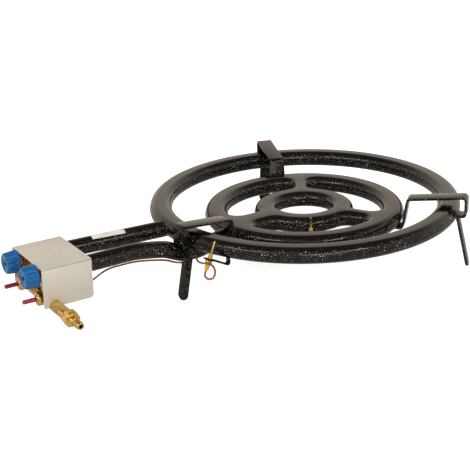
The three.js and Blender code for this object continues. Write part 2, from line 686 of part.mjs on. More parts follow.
// One gas line: tap, knob, flame-failure button, injector and air cup
const knobRearX = mouthX - knobStandOff;
const knobFrontX = knobRearX - knobLength;
const knobSeatX = knobFrontX + knobHoleDepth;
const buttonAxis = lineAxis - buttonDrop;
const headFrontX = mouthX - magnetHeadReach;
const headBackX = headFrontX + magnetHeadLength;
const headBoreX = headBackX - magnetHeadFloor;
const neckFrontX = headBackX + seatGap;
const neckRearX = neckFrontX + tapNeckLength;
const connectorX = neckRearX + seatGap;
const connectorZ = lineAxis - connectorDrop;
const bodyTop = lineAxis + tapBodyHeight / 2;
const bodyUnder = lineAxis - tapBodyHeight / 2;
const neckFoot = manifoldZ + manifoldRadius + seatGap;
const spindleRadius = spindleDiameter / 2;

function tapBody() {
  const outline = [
    point(tapFrontX, bodyTop),
    point(tapFrontX, bodyUnder),
    point(neckFrontX, bodyUnder),
    point(neckFrontX, neckFoot),
    point(neckRearX, neckFoot),
    point(neckRearX, bodyUnder),
    point(tapRearX, bodyUnder),
    point(tapRearX, bodyTop),
  ];
  const cavity = [
    [0, tapFrontX - overrun],
    [plugLargeDiameter / 2 + seatGap, tapFrontX - overrun],
    [plugLargeDiameter / 2 + seatGap, tapFrontX],
    [plugSmallDiameter / 2 + seatGap, tapFrontX + plugLength + seatGap],
    [0, tapFrontX + plugLength + seatGap],
  ];
  return solid(acrossY(outline, tapBodyWidth)).subtract(turnedAlongX(cavity, smallSides, lineAxis));
}

function knob() {
  const outline = [];
  const steps = fluteCount * 4;
  for (let i = 0; i < steps; i += 1) {
    const turn = (2 * Math.PI * i) / steps;
    const flute = (knobFluteDepth * (1 - Math.cos(fluteCount * turn))) / 2;
    outline.push(polar(knobFrontDiameter / 2 - flute, turn));
  }
  const rimX = knobRearX - knobRimThickness;
  const grip = alongX(outline, knobFrontX, rimX, 0, 0);
  const places = grip.getAttribute('position');
  const widest = (knobDiameter - knobRimThickness / 2) / knobFrontDiameter;
  for (let i = 0; i < places.count; i += 1) {
    const share = (places.getX(i) - knobFrontX) / (rimX - knobFrontX);
    const scale = THREE.MathUtils.lerp(1, widest, share);
    places.setXYZ(i, places.getX(i), places.getY(i) * scale, places.getZ(i) * scale);
  }
  const rim = solid(alongX(polygon(knobDiameter / 2, fluteCount * 3), rimX, knobRearX, 0, lineAxis));
  const socket = solid(alongX(
    polygon(spindleRadius + seatGap, smallSides), knobSeatX, knobRearX + overrun, 0, lineAxis));
  const hole = solid(alongX(
    polygon(knobHoleDiameter / 2, smallSides), knobFrontX - overrun, knobSeatX + seatGap, 0, lineAxis));
  return cutAll(solid(grip.translate(0, 0, lineAxis)).add(rim), [socket, hole]);
}

function bonnet() {
  const ring = alongX(
    hexagon(bonnetSize), tapFrontX - seatGap - bonnetLength, tapFrontX - seatGap, 0, lineAxis,
    [polygon(spindleRadius + seatGap, smallSides)]);
  return solid(ring);
}

function magnetHead() {
  const flats = polygon(magnetHeadSize / 2 / Math.cos(Math.PI / 8), 8, Math.PI / 8);
  const head = solid(alongX(flats, headFrontX, headBackX, 0, buttonAxis));
  return head.subtract(solid(alongX(
    polygon(buttonDiameter / 2 + seatGap, smallSides), headFrontX - overrun, headBoreX, 0, buttonAxis)));
}

function injector() {
  const hexEnd = cupBackX - seatGap;
  const nose = cupBackX + injectorNoseLength;
  const stem = [
    [0, hexEnd - seatGap],
    [injectorNeckDiameter / 2, hexEnd - seatGap],
    [injectorNeckDiameter / 2, nose - injectorTipDiameter],
    [injectorTipDiameter / 2, nose],
    [0, nose],
  ];
  return solid(alongX(hexagon(injectorHexSize), tapRearX + seatGap, hexEnd, 0, lineAxis))
    .add(turnedAlongX(stem, smallSides, lineAxis));
}

function airCup() {
  const outer = tubeRadius + seatGap + airCupWall;
  const hollow = tubeRadius + seatGap;
  const bore = injectorNeckDiameter / 2 + seatGap;
  const profile = [
    [bore, cupBackX],
    [outer, cupBackX],
    [outer, cupFrontX],
    [hollow, cupFrontX],
    [hollow, cupBackX + airCupWall],
    [bore, cupBackX + airCupWall],
    [bore, cupBackX],
  ];
  const from = cupBackX + 2 * airCupWall;
  const to = tubeStart - airCupWall;
  const half = airWindowWidth / 2;
  const upright = slab(from, to, -half, half, lineAxis - feedTubeDiameter, lineAxis + feedTubeDiameter);
  const level = slab(from, to, -feedTubeDiameter, feedTubeDiameter, lineAxis - half, lineAxis + half);
  return turnedAlongX(profile, tubeSides, lineAxis).subtract(upright).subtract(level);
}

const plugProfile = [
  [0, tapFrontX + seatGap],
  [plugLargeDiameter / 2, tapFrontX + seatGap],
  [plugSmallDiameter / 2, tapFrontX + plugLength],
  [0, tapFrontX + plugLength],
];

lines.forEach(({ name, y }) => {
  const line = new THREE.Group();
  line.position.y = y;
  burner.add(line);
  const rodEnd = headBoreX - buttonTravel - 2 * seatGap;
  const rod = alongX(polygon(buttonDiameter / 2, smallSides), mouthX - buttonReach, rodEnd, 0, buttonAxis);
  const connector = alongX(hexagon(connectorSize), connectorX, connectorX + connectorLength, 0, connectorZ);
  piece(`${name}_tap_body`, tapBody(), brass, line);
  piece(`${name}_tap_plug`, turnedAlongX(plugProfile, smallSides, lineAxis), brass, line);
  piece(`${name}_tap_bonnet`, bonnet(), brass, line);
  piece(`${name}_tap_spindle`, solid(alongX(
    polygon(spindleRadius, smallSides), knobSeatX + 2 * seatGap, tapFrontX, 0, lineAxis)), steel, line);
  piece(`${name}_knob`, knob(), bluePlastic, line);
  piece(`${name}_magnet_head`, magnetHead(), brass, line);
  piece(`${name}_push_button`, solid(rod), redPlastic, line);
  piece(`${name}_injector`, injector(), brass, line);
  piece(`${name}_air_cup`, airCup(), zincSheet, line);
  piece(`${name}_sensor_connector`, solid(connector), brass, line);
});

// Thermocouples: each stands in a bracket, with its tip in the flames and its lead running to its tap.
function thermocouple(name, axis) {
  const half = bracketThickness / 2;
  const shoulder = half + seatGap;
  const threadEnd = -half - sensorNutLength - 2 * seatGap;
  const body = [
    [0, threadEnd],
    [sensorThreadDiameter / 2, threadEnd],
    [sensorThreadDiameter / 2, shoulder],
    [sensorBodyDiameter / 2, shoulder],
    [sensorBodyDiameter / 2, shoulder + sensorShoulderLength],
    [0, shoulder + sensorShoulderLength],
  ];
  const probeFoot = shoulder + sensorShoulderLength + seatGap;
  const probe = [
    [0, probeFoot],
    [probeDiameter / 2, probeFoot],
    [probeDiameter / 2, probeFoot + probeLength - probeDiameter / 2],
    [0, probeFoot + probeLength],
  ];
  const threadBore = polygon(sensorThreadDiameter / 2 + seatGap, smallSides);
  const nut = extruded(hexagon(sensorNutSize), sensorNutLength, [threadBore]);
  const sleeveTop = threadEnd - seatGap;
  const sleeve = extruded(polygon(sleeveDiameter / 2, smallSides), sleeveLength);
  sleeve.translate(0, 0, sleeveTop - sleeveLength);
  piece(`${name}_sensor_probe`, solid(turned(probe, smallSides)), steel, axis);
  piece(`${name}_sensor_body`, solid(turned(body, smallSides)), brass, axis);
  piece(`${name}_sensor_nut`, solid(nut.translate(0, 0, -half - seatGap - sensorNutLength)), brass, axis);
  piece(`${name}_sensor_sleeve`, solid(sleeve), yellowSleeve, axis);
  axis.updateMatrix();
  return sleeveTop - sleeveLength - seatGap;
}

// A bracket's outline given in the XZ plane of its group, with the hole for the sensor's thread.
function bracket(places, axis, holder) {
  const outline = barOutline(places, bracketThickness, bracketBendRadius);
  const strip = solid(acrossY(outline, bracketWidth, holder));
  const hole = extruded(polygon(sensorThreadDiameter / 2 + seatGap, smallSides), 2 * bracketWidth);
  hole.translate(0, 0, -bracketWidth).applyMatrix4(axis.matrix);
  return strip.subtract(solid(hole));
}

function lead(name, start, route) {
  const end = lines.find((line) => line.name === name);
  const tapX = connectorX + connectorLength + seatGap;
  const places = [
    ...start,
    ...route.map((place) => place3(...place)),
    place3(tapX + connectorLength / 2, end.y, connectorZ),
    place3(tapX, end.y, connectorZ),
  ];
  piece(`${name}_sensor_lead`, solid(tubeAlong(places, leadRadius, leadSides, leadSteps)), copper);
}

const edgeX = -Math.sqrt(outerRadius ** 2 - outerSensorY ** 2);
const outerAxis = new THREE.Group();
outerAxis.position.set(edgeX - outerSensorReach, outerSensorY, -outerSensorDrop);
outerAxis.rotation.y = radians(outerSensorLean);
burner.add(outerAxis);
const outerLeadStart = thermocouple('outer', outerAxis);
const slope = Math.tan(radians(outerSensorLean));
const armX = edgeX - outerSensorReach;
const armReach = bracketWidth * bracketArmShare;
const outerBracketLine = [
  point(edgeX + outerBracketInset, outerBottom - seatGap),
  point(edgeX + outerBracketInset, outerBottom - outerBracketDepth),
  point(armX + armReach, -outerSensorDrop - armReach * slope),
  point(armX - armReach, -outerSensorDrop + armReach * slope),
];
piece('outer_sensor_bracket', bracket(outerBracketLine, outerAxis, outerSensorY), enamel);

const innerStand = new THREE.Group();
innerStand.rotation.z = radians(innerSensorAngle);
burner.add(innerStand);
const footZ = innerBottom - seatGap - bracketThickness / 2;
const innerAxis = new THREE.Group();
innerAxis.position.set(centreRadius + innerSensorReach, 0, footZ + innerBracketRise);
innerStand.add(innerAxis);
const innerLeadStart = thermocouple('inner', innerAxis);
const innerBracketLine = [
  point(centreRadius - innerTubeWidth * innerFootShares[0], footZ),
  point(centreRadius - innerTubeWidth * innerFootShares[1], footZ),
  point(centreRadius + innerSensorReach - armReach, footZ + innerBracketRise),
  point(centreRadius + innerSensorReach + armReach, footZ + innerBracketRise),
];
piece('inner_sensor_bracket', bracket(innerBracketLine, innerAxis, 0), enamel, innerStand);

// The leads: one under the near tube, and one between the two
burner.updateMatrixWorld(true);
const leaving = (axis, from) => [
  place3(0, 0, from).applyMatrix4(axis.matrixWorld),
  place3(0, 0, from - leadDiameter).applyMatrix4(axis.matrixWorld),
];
lead('outer', leaving(outerAxis, outerLeadStart), outerLeadPlaces);
lead('inner', leaving(innerAxis, innerLeadStart), innerLeadPlaces);

// The origin moves to the middle of the footprint, on the surface that the legs stand on.
burner.updateMatrixWorld(true);
const reach = new THREE.Box3().setFromObject(burner, true);
burner.position.set(-(reach.min.x + reach.max.x) / 2, -(reach.min.y + reach.max.y) / 2, -reach.min.z);
const group = new THREE.Group();
group.add(burner);

export default group;
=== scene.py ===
import math

import bmesh
import bpy
import numpy as np
from mathutils import Matrix, Vector
from mathutils.kdtree import KDTree

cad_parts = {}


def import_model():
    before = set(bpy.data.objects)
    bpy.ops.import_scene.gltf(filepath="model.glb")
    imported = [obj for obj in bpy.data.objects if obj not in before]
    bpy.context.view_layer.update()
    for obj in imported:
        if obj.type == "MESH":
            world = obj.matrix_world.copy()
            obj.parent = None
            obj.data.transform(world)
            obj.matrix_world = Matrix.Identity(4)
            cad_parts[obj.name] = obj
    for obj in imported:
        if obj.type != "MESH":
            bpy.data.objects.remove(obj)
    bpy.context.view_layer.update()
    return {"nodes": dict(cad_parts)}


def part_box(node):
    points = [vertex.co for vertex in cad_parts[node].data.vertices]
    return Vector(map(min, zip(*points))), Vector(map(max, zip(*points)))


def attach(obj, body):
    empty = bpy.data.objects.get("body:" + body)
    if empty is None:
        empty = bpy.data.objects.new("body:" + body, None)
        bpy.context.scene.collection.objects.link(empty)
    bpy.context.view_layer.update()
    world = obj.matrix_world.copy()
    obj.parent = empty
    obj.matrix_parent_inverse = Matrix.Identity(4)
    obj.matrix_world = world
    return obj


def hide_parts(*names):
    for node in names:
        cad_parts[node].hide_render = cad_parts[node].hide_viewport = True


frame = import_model()
scene = bpy.context.scene

# Main sizes
# They are in millimetres, in the drawing frame that the CAD source also uses: X = Y = 0 is the axis of the
# rings, Z = 0 the seam of the outer ring, and the gas flows along +X from the box to the rings.
OUTER, OUTER_WIDTH = 250.0, 34.7  # the outer ring's radius, and the width of its section
INNER, INNER_WIDTH = 160.7, 35.7  # the same of the inner burner
CENTRE = 80.0  # radius of the centre ring
DROP = 16.0  # of the inner burner's seam, below the outer ring's
HALF, CORNER = 13.0, 12.0  # half the height of both burners, and the rounding of their edges
LAP = 0.8  # how far the lower shells stand proud at the seams
TUBE = 13.0  # radius of the feed tubes
AXIS = -3.0  # height of the feed tubes, taps and knobs
LINE, RING_LINE = 34.5, 28.0  # how far each tube is from the middle line, at the box and at the rings
WALL, MOUTH = -406.0, -484.0  # the box's two ends
BOX_SIDE = 55.0
STAND = 90.0  # from the floor to the seam of the outer ring
GAP = 0.3  # between pieces that are seated on each other
MIDDLE = OUTER - OUTER_WIDTH / 2
LINES = (("outer", LINE), ("inner", -LINE))
HALVES = ((1, "upper"), (-1, "lower"))

# Places
low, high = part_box("outer_ring_lower_shell")
ORIGIN = Vector(((low[0] + high[0]) / 2, (low[1] + high[1]) / 2, high[2]))
ALONG_X = Matrix(((0, 0, 1, 0), (0, 1, 0, 0), (-1, 0, 0, 0), (0, 0, 0, 1)))
TOWARDS_MINUS_Y = Matrix(((1, 0, 0, 0), (0, 0, -1, 0), (0, 1, 0, 0), (0, 0, 0, 1)))


def world(p):
    """A place in the drawing frame, turned into one in the shared frame, which is in metres."""
    return ORIGIN + Vector(p) / 1000


def at(x, y, z, turning=Matrix.Identity(4)):
    return Matrix.Translation((x, y, z)) @ turning


def polar(radius, turn):
    return radius * math.cos(turn), radius * math.sin(turn)


def radial(angle, r, side, z):
    """A place r out along a turned line from the rings' axis, and side to the left of that line."""
    c, s = math.cos(angle), math.sin(angle)
    return Vector((r * c - side * s, r * s + side * c, z))


# Camera
FOCAL = 1300.0  # pixels
SIDE = 470.0  # pixels
FILM = 36.0
HEADING = Vector((0.506, 0.8625, 0)).normalized()
PITCH = math.radians(21.0)
ROLL = math.radians(-1.90)
CAMERA_PLACE = (-1107.6, -1662.5, 709.4)
VIEW_LIMIT = 50.0  # metres
camera_data = bpy.data.cameras.new("camera")
camera_data.sensor_width = FILM
camera_data.lens = FOCAL / SIDE * FILM
camera_data.clip_end = VIEW_LIMIT
camera = bpy.data.objects.new("camera", camera_data)
scene.collection.objects.link(camera)
scene.camera = camera
ahead = HEADING * math.cos(PITCH) - Vector((0, 0, math.sin(PITCH)))
level = ahead.cross(Vector((0, 0, 1))).normalized()
upward = level.cross(ahead)
right = level * math.cos(ROLL) + upward * math.sin(ROLL)
up = right.cross(ahead)
turn = Matrix((right, up, -ahead)).transposed().to_4x4()
camera.matrix_world = Matrix.Translation(world(CAMERA_PLACE)) @ turn

# Materials
MIX_FACTOR, MIX_A, MIX_B, MIX_RESULT = 0, 6, 7, 2  # the sockets of a Mix node that are for colours


class Look:
    """A Principled material, with short forms for the nodes that it needs."""

    def __init__(self, name, color, roughness, metallic=0.0, **fixed):
        self.material = bpy.data.materials.new(name)
        self.material.use_nodes = True
        self.tree = self.material.node_tree
        self.shader = self.tree.nodes["Principled BSDF"]
        self.set("Base Color", (*color, 1))
        self.set("Roughness", roughness)
        self.set("Metallic", metallic)
        for key, value in fixed.items():
            self.set(key.replace("_", " "), value)
        self.place = self.node("ShaderNodeTexCoord").outputs["Object"]

    def set(self, key, value):
        self.shader.inputs[key].default_value = value

    def node(self, kind, **settings):
        made = self.tree.nodes.new(kind)
        for key, value in settings.items():
            setattr(made, key, value)
        return made

    def link(self, source, target):
        self.tree.links.new(source, target)

    def math(self, operation, a, b=0.0, clamp=False):
        made = self.node("ShaderNodeMath", operation=operation, use_clamp=clamp)
        for socket, value in zip(made.inputs, (a, b)):
            if isinstance(value, (int, float)):
                socket.default_value = value
            else:
                self.link(value, socket)
        return made.outputs[0]

    def noise(self, scale, detail, rough=0.55, stretch=None):
        made = self.node("ShaderNodeTexNoise")
        made.inputs["Scale"].default_value = scale
        made.inputs["Detail"].default_value = detail
        made.inputs["Roughness"].default_value = rough
        source = self.place
        if stretch:
            mapping = self.node("ShaderNodeMapping")
            mapping.inputs["Scale"].default_value = stretch
            self.link(source, mapping.inputs["Vector"])
            source = mapping.outputs["Vector"]
        self.link(source, made.inputs["Vector"])
        return made.outputs["Fac"]

    def cells(self, scale):
        """The distance to the middle of the nearest cell, and that cell's own random red, green and blue."""
        made = self.node("ShaderNodeTexVoronoi")
        made.inputs["Scale"].default_value = scale
        self.link(self.place, made.inputs["Vector"])
        tint = self.node("ShaderNodeSeparateColor")
        self.link(made.outputs["Color"], tint.inputs[0])
        return made.outputs["Distance"], *tint.outputs

    def span(self, value, a, b, c=0.0, d=1.0):
        """Takes a to c and b to d, with soft ends."""
        made = self.node("ShaderNodeMapRange", interpolation_type="SMOOTHSTEP")
        for key, number in (("From Min", a), ("From Max", b), ("To Min", c), ("To Max", d)):
            made.inputs[key].default_value = number
        self.link(value, made.inputs["Value"])
        return made.outputs["Result"]

    def mix(self, factor, a, b):
        made = self.node("ShaderNodeMix", data_type="RGBA")
        for index, value in ((MIX_FACTOR, factor), (MIX_A, a), (MIX_B, b)):
            if isinstance(value, tuple):
                made.inputs[index].default_value = (*value, 1)
            else:
                self.link(value, made.inputs[index])
        return made.outputs[MIX_RESULT]

    def color(self, socket):
        self.link(socket, self.shader.inputs["Base Color"])

    def roughness(self, socket):
        self.link(socket, self.shader.inputs["Roughness"])

    def bump(self, *layers):
        """Layers of (height, strength, distance in metres)."""
        previous = None
        for height, strength, distance in layers:
            made = self.node("ShaderNodeBump")
            made.inputs["Strength"].default_value = strength
            made.inputs["Distance"].default_value = distance
            self.link(height, made.inputs["Height"])
            if previous:
                self.link(previous, made.inputs["Normal"])
            previous = made.outputs["Normal"]
        self.link(previous, self.shader.inputs["Normal"])

    def edge_wear_and_highlight(self, radius, share):
        """About that share on edges, and 0 on flat faces. The paler edges that it drives are partly wear and
        partly a painted highlight.
        """
        bevel = self.node("ShaderNodeBevel", samples=4)
        bevel.inputs["Radius"].default_value = radius
        plain = self.node("ShaderNodeNewGeometry").outputs["Normal"]
        dot = self.node("ShaderNodeVectorMath", operation="DOT_PRODUCT")
        self.link(bevel.outputs["Normal"], dot.inputs[0])
        self.link(plain, dot.inputs[1])
        return self.math("MULTIPLY", self.span(dot.outputs["Value"], 0.995, 0.9), share)


def paler(color, gain, lift):
    return tuple(min(1.0, c * gain + lift) for c in color)


def enamel():
    """Black vitreous enamel: smooth on top, with pale painted glints on its steep faces: flecks of colour
    that stand in for the lamps' reflections in tiny pits, which the bump raises.
    """
    look = Look("black_enamel_painted_glints", (0.002, 0.0017, 0.0014), 0.14, IOR=1.35,
                Specular_Tint=(1, 0.94, 0.87, 1))
    normal = look.node("ShaderNodeNewGeometry").outputs["Normal"]
    split = look.node("ShaderNodeSeparateXYZ")
    look.link(normal, split.inputs[0])
    # Painted glints: the flecks are kept to steep faces, where the pits would catch the lamps, and left off
    # the tops.
    glinting_steep_faces = look.span(look.math("ABSOLUTE", split.outputs["Z"]), 0.93, 0.45, 0.05, 1.0)
    patches = look.span(look.noise(26, 3, 0.6), 0.36, 0.60, 0.45, 1.0)
    painted_glints_on_pits = None
    for scale, share_without, size in ((300, 0.90, 0.38), (560, 0.76, 0.40), (1000, 0.70, 0.46)):
        distance, red, green, blue = look.cells(scale)
        chosen = look.math("GREATER_THAN", red, share_without)
        width = look.math("MULTIPLY", green, size)
        dot = look.span(look.math("SUBTRACT", width, distance), 0.0, 0.05)
        glint_brightness = look.span(blue, 0.0, 1.0, 0.22, 1.0)
        dot = look.math("MULTIPLY", look.math("MULTIPLY", dot, chosen), glint_brightness)
        painted_glints_on_pits = dot if painted_glints_on_pits is None else look.math("MAXIMUM", painted_glints_on_pits, dot)
    painted_glints_on_pits = look.math("MULTIPLY", look.math("MULTIPLY", painted_glints_on_pits, glinting_steep_faces), patches, clamp=True)
    base = look.mix(look.noise(90, 3), (0.002, 0.0016, 0.0013), (0.005, 0.004, 0.003))
    # Painted glints: the pale colour of the flecks stands in for reflections in the pits.
    look.color(look.mix(painted_glints_on_pits, base, (0.68, 0.65, 0.59)))
    look.roughness(look.span(look.noise(60, 4), 0.3, 0.7, 0.07, 0.16))
    look.bump((look.noise(300, 3), 0.20, 0.0006), (look.noise(1300, 2), 0.08, 0.0002),
              (painted_glints_on_pits, 0.35, 0.00025))
    return look.material


def metal(name, color, dark, roughness, grain=900.0, bump=0.12):
    look = Look(name, color, roughness, 1.0)
    stain = look.span(look.noise(70, 4, 0.6), 0.35, 0.75)
    base = look.mix(look.math("MULTIPLY", stain, 0.75), color, dark)
    # Paler edges: partly wear, partly a painted highlight.
    look.color(look.mix(look.edge_wear_and_highlight(0.0007, 0.35), base, paler(color, 1.35, 0.03)))
    look.roughness(look.span(look.noise(grain * 0.25, 4), 0.3, 0.75, roughness - 0.08, roughness + 0.14))
    look.bump((look.noise(grain, 3, 0.6), bump, 0.0003), (look.noise(160, 2), 0.08, 0.0006))
    return look.material


def sheet():
    """Satin zinc: faint crystals under an uneven, slightly aged film."""
    look = Look("satin_zinc_sheet", (0.60, 0.565, 0.49), 0.42, 0.22, Specular_IOR_Level=0.5)
    cloud = look.span(look.noise(22, 5, 0.6), 0.3, 0.72)
    _, red, _, _ = look.cells(170)
    flake = look.mix(look.math("MULTIPLY", red, 0.35), (0.62, 0.585, 0.505), (0.555, 0.525, 0.455))
    aged = look.mix(look.math("MULTIPLY", cloud, 0.3), flake, (0.52, 0.485, 0.41))
    # Paler edges: partly wear, partly a painted highlight.
    look.color(look.mix(look.edge_wear_and_highlight(0.0008, 0.5), aged, (0.80, 0.78, 0.72)))
    look.roughness(look.span(look.noise(120, 4), 0.3, 0.7, 0.34, 0.5))
    look.bump((look.noise(900, 3, 0.6, (1, 1, 0.15)), 0.06, 0.0002), (look.noise(35, 2), 0.05, 0.001))
    return look.material


def plastic(name, color, deep, roughness, stipple, edge=0.5, shine=0.5):
    look = Look(name, color, roughness, Specular_IOR_Level=shine, Subsurface_Weight=0.05,
                Subsurface_Scale=0.002)
    shade = look.mix(look.span(look.noise(140, 4), 0.3, 0.7), color, deep)
    # Paler edges: partly wear, partly a painted highlight.
    look.color(look.mix(look.edge_wear_and_highlight(0.0009, edge), shade, paler(color, 1.25, 0.06)))
    look.roughness(look.span(look.noise(300, 3), 0.3, 0.7, roughness - 0.07, roughness + 0.12))
    look.bump((look.noise(stipple, 2), 0.1, 0.00025), (look.noise(90, 2), 0.06, 0.0008))
    return look.material


# Painted shade: a near-black material for the insides of ports, bores and the knobs' centre holes, where
# shade falls.
def painted_bore_shade():
    look = Look("port_bore_painted_shade", (0.008, 0.007, 0.006), 0.7)
    look.color(look.mix(look.noise(600, 2), (0.005, 0.005, 0.004), (0.02, 0.016, 0.013)))
    look.bump((look.noise(1200, 2), 0.3, 0.0003))
    return look.material


def paper():
    look = Look("bare_label", (0.78, 0.74, 0.68), 0.55)
    look.color(look.mix(look.span(look.noise(90, 4), 0.35, 0.7), (0.82, 0.78, 0.72), (0.70, 0.64, 0.57)))
    look.roughness(look.span(look.noise(200, 3), 0.3, 0.7, 0.45, 0.65))
    look.bump((look.noise(700, 3), 0.15, 0.0002), (look.noise(60, 2), 0.15, 0.001))
    return look.material


ENAMEL = enamel()
SHEET = sheet()
BRASS = metal("machined_brass", (0.70, 0.46, 0.15), (0.38, 0.21, 0.055), 0.2)
BRONZE = metal("cast_tap_brass", (0.54, 0.31, 0.10), (0.22, 0.10, 0.035), 0.3, grain=500, bump=0.3)
STEEL = metal("bare_steel", (0.46, 0.42, 0.36), (0.24, 0.19, 0.14), 0.32)
PROBE = metal("heat_tinted_steel", (0.58, 0.40, 0.20), (0.30, 0.17, 0.08), 0.28)
COPPER = metal("drawn_copper", (0.36, 0.135, 0.065), (0.11, 0.045, 0.025), 0.3)
BLUE = plastic("blue_knob_plastic", (0.002, 0.125, 0.35), (0.001, 0.085, 0.26), 0.2, 1400, shine=0.3)
RED = plastic("red_button_plastic", (0.36, 0.016, 0.045), (0.24, 0.012, 0.035), 0.3, 1800, edge=0.3)
YELLOW = plastic("yellow_sleeve_plastic", (0.66, 0.50, 0.02), (0.50, 0.36, 0.02), 0.42, 1200)
PAINTED_BORE_SHADE = painted_bore_shade()
PAPER = paper()

# Pieces
CREASE = 38.0  # degrees between two faces, over which their edge stays sharp or gets a bevel
FLAT = 1.0  # degrees between two faces, under which they become one
MERGE = 2e-6  # metres between two vertices, under which they become one


def finish_piece(bm, name, material, nodes=(), body="burner", sharp=CREASE, extra=None):
    """Makes the mesh an object that rides on a body and takes the place of CAD nodes."""
    bmesh.ops.recalc_face_normals(bm, faces=bm.faces)
    mesh = bpy.data.meshes.new(name)
    bm.to_mesh(mesh)
    bm.free()
    mesh.shade_smooth()
    mesh.set_sharp_from_angle(angle=math.radians(sharp))
    mesh.materials.append(material)
    if extra:
        mesh.materials.append(extra)
    made = bpy.data.objects.new(name, mesh)
    scene.collection.objects.link(made)
    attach(made, body)
    if nodes:
        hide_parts(*nodes)
    return made


def smooth_bevel(bm, offset, limit=CREASE, segments=2, only=None):
    """Rounds the edges that are sharper than the limit, or those of them that pass the test only."""
    edges = [e for e in bm.edges if len(e.link_faces) == 2 and e.calc_face_angle(0) > math.radians(limit)
             and (only is None or only(e))]
    if edges:
        bmesh.ops.bevel(bm, geom=edges, offset=offset / 1000, segments=segments, profile=0.5,
                        affect="EDGES", clamp_overlap=True)


def dressed(node, material, bevel, body="burner", folds=None):
    """A copy of a CAD node with flat faces joined and edges rounded. folds is (a wider bevel, its test)."""
    bm = bmesh.new()
    bm.from_mesh(frame["nodes"][node].data)
    bmesh.ops.remove_doubles(bm, verts=bm.verts, dist=MERGE)
    bmesh.ops.dissolve_limit(bm, angle_limit=math.radians(FLAT), verts=bm.verts, edges=bm.edges)
    if folds:
        width, test = folds
        smooth_bevel(bm, width, segments=4, only=test)
    smooth_bevel(bm, bevel)
    return finish_piece(bm, node + "_finish", material, [node], body)


def stitch(bm, a, b, closed=True):
    """Joins two rows of vertices by faces. A row may be a single tip."""
    count = max(len(a), len(b))
    for i in range(count if closed else count - 1):
        j = (i + 1) % count
        if len(a) == 1:
            bm.faces.new((a[0], b[j], b[i]))
        elif len(b) == 1:
            bm.faces.new((a[i], a[j], b[0]))
        else:
            bm.faces.new((a[i], a[j], b[j], b[i]))


def loft(bm, rings, closed=True, loop=False):
    """Skins rows of points. closed: each row is a ring. loop: the last one joins the first, without caps."""
    rows = [[bm.verts.new(p) for p in ring] for ring in rings]
    for a, b in zip(rows, rows[1:]):
        stitch(bm, a, b, closed)
    if loop:
        stitch(bm, rows[-1], rows[0])
    elif closed:
        bm.faces.new(rows[0])
        bm.faces.new(list(reversed(rows[-1])))


def circle(radius, sides):
    return [polar(radius, 2 * math.pi * i / sides) for i in range(sides)]


def arc(cx, cy, radius, start, end, steps):
    """Points round a centre from one turn to another, in degrees."""
    made = []
    for i in range(steps + 1):
        x, y = polar(radius, math.radians(start + (end - start) * i / steps))
        made.append((cx + x, cy + y))
    return made


def lathe(bm, profile, segments, place=Matrix.Identity(4)):
    """Turns (radius, height) points about a local Z axis. A radius of 0 is a tip on that axis."""
    rows = []
    for radius, height in profile:
        ring = circle(radius, segments) if radius else [(0, 0)]
        rows.append([bm.verts.new(world(place @ Vector((*spot, height)))) for spot in ring])
    for a, b in zip(rows, rows[1:]):
        stitch(bm, a, b)


def rounded(profile, radius, steps=3):
    """Rounds the inner corners of an open (a, b) profile."""
    points = [Vector(p) for p in profile]
    out = [points[0]]
    for before, corner, after in zip(points, points[1:], points[2:]):
        a, b = before - corner, after - corner
        size = min(radius, a.length * 0.45, b.length * 0.45)
        start, end = corner + a.normalized() * size, corner + b.normalized() * size
        for i in range(steps + 1):
            t = i / steps
            out.append(start * (1 - t) ** 2 + corner * 2 * t * (1 - t) + end * t * t)
    out.append(points[-1])
    return [tuple(p) for p in out]


def turned(name, profile, material, place, nodes=(), body="burner", segments=40, radius=0.4):
    """A turned piece. radius rounds the corners of its profile."""
    bm = bmesh.new()
    lathe(bm, rounded(profile, radius), segments, place)
    finish_piece(bm, name, material, nodes, body)


def between(a, b, at_a, at_b, t):
    return (at_b - t) / (at_b - at_a) * a + (t - at_a) / (at_b - at_a) * b


def centripetal(points, per_span):
    """The same curve as the solids follow: centripetal Catmull-Rom through the points."""
    p = [np.array(q, float) for q in points]
    p = [2 * p[0] - p[1], *p, 2 * p[-1] - p[-2]]
    out = []
    for i in range(1, len(p) - 2):
        p0, p1, p2, p3 = p[i - 1:i + 3]
        t0 = 0.0
        t1 = t0 + np.linalg.norm(p1 - p0) ** 0.5
        t2 = t1 + np.linalg.norm(p2 - p1) ** 0.5
        t3 = t2 + np.linalg.norm(p3 - p2) ** 0.5
        for k in range(per_span):
            t = t1 + (t2 - t1) * k / per_span
            middle = between(p1, p2, t1, t2, t)
            before = between(between(p0, p1, t0, t1, t), middle, t0, t2, t)
            after = between(middle, between(p2, p3, t2, t3, t), t1, t3, t)
            out.append(between(before, after, t1, t2, t))
    out.append(p[-2])
    return [Vector(q) for q in out]


def sweep(bm, path, section, closed=False, across=None):
    """Carries a section of (a, b) points along a path. Where across is given, a lies along it."""
    count = len(path)
    rings = []
    side = None
    for i, place in enumerate(path):
        before = path[i - 1] if i or closed else path[0]
        after = path[(i + 1) % count] if i < count - 1 or closed else path[-1]
        along = (after - before).normalized()
        if across is not None:
            side = Vector(across)
        elif side is None:
            side = along.cross(Vector((0, 0, 1) if abs(along.z) < 0.9 else (1, 0, 0))).normalized()
        else:
            side = (side - along * side.dot(along)).normalized()
        over = side.cross(along).normalized()
        rings.append([world(place + side * a + over * b) for a, b in section])
    loft(bm, rings, loop=closed)


def bead(name, path, radius, closed=False):
    """A weld bead along a path, enamelled over."""
    bm = bmesh.new()
    sweep(bm, [Vector(p) for p in path], circle(radius, 10), closed)
    finish_piece(bm, name, ENAMEL)


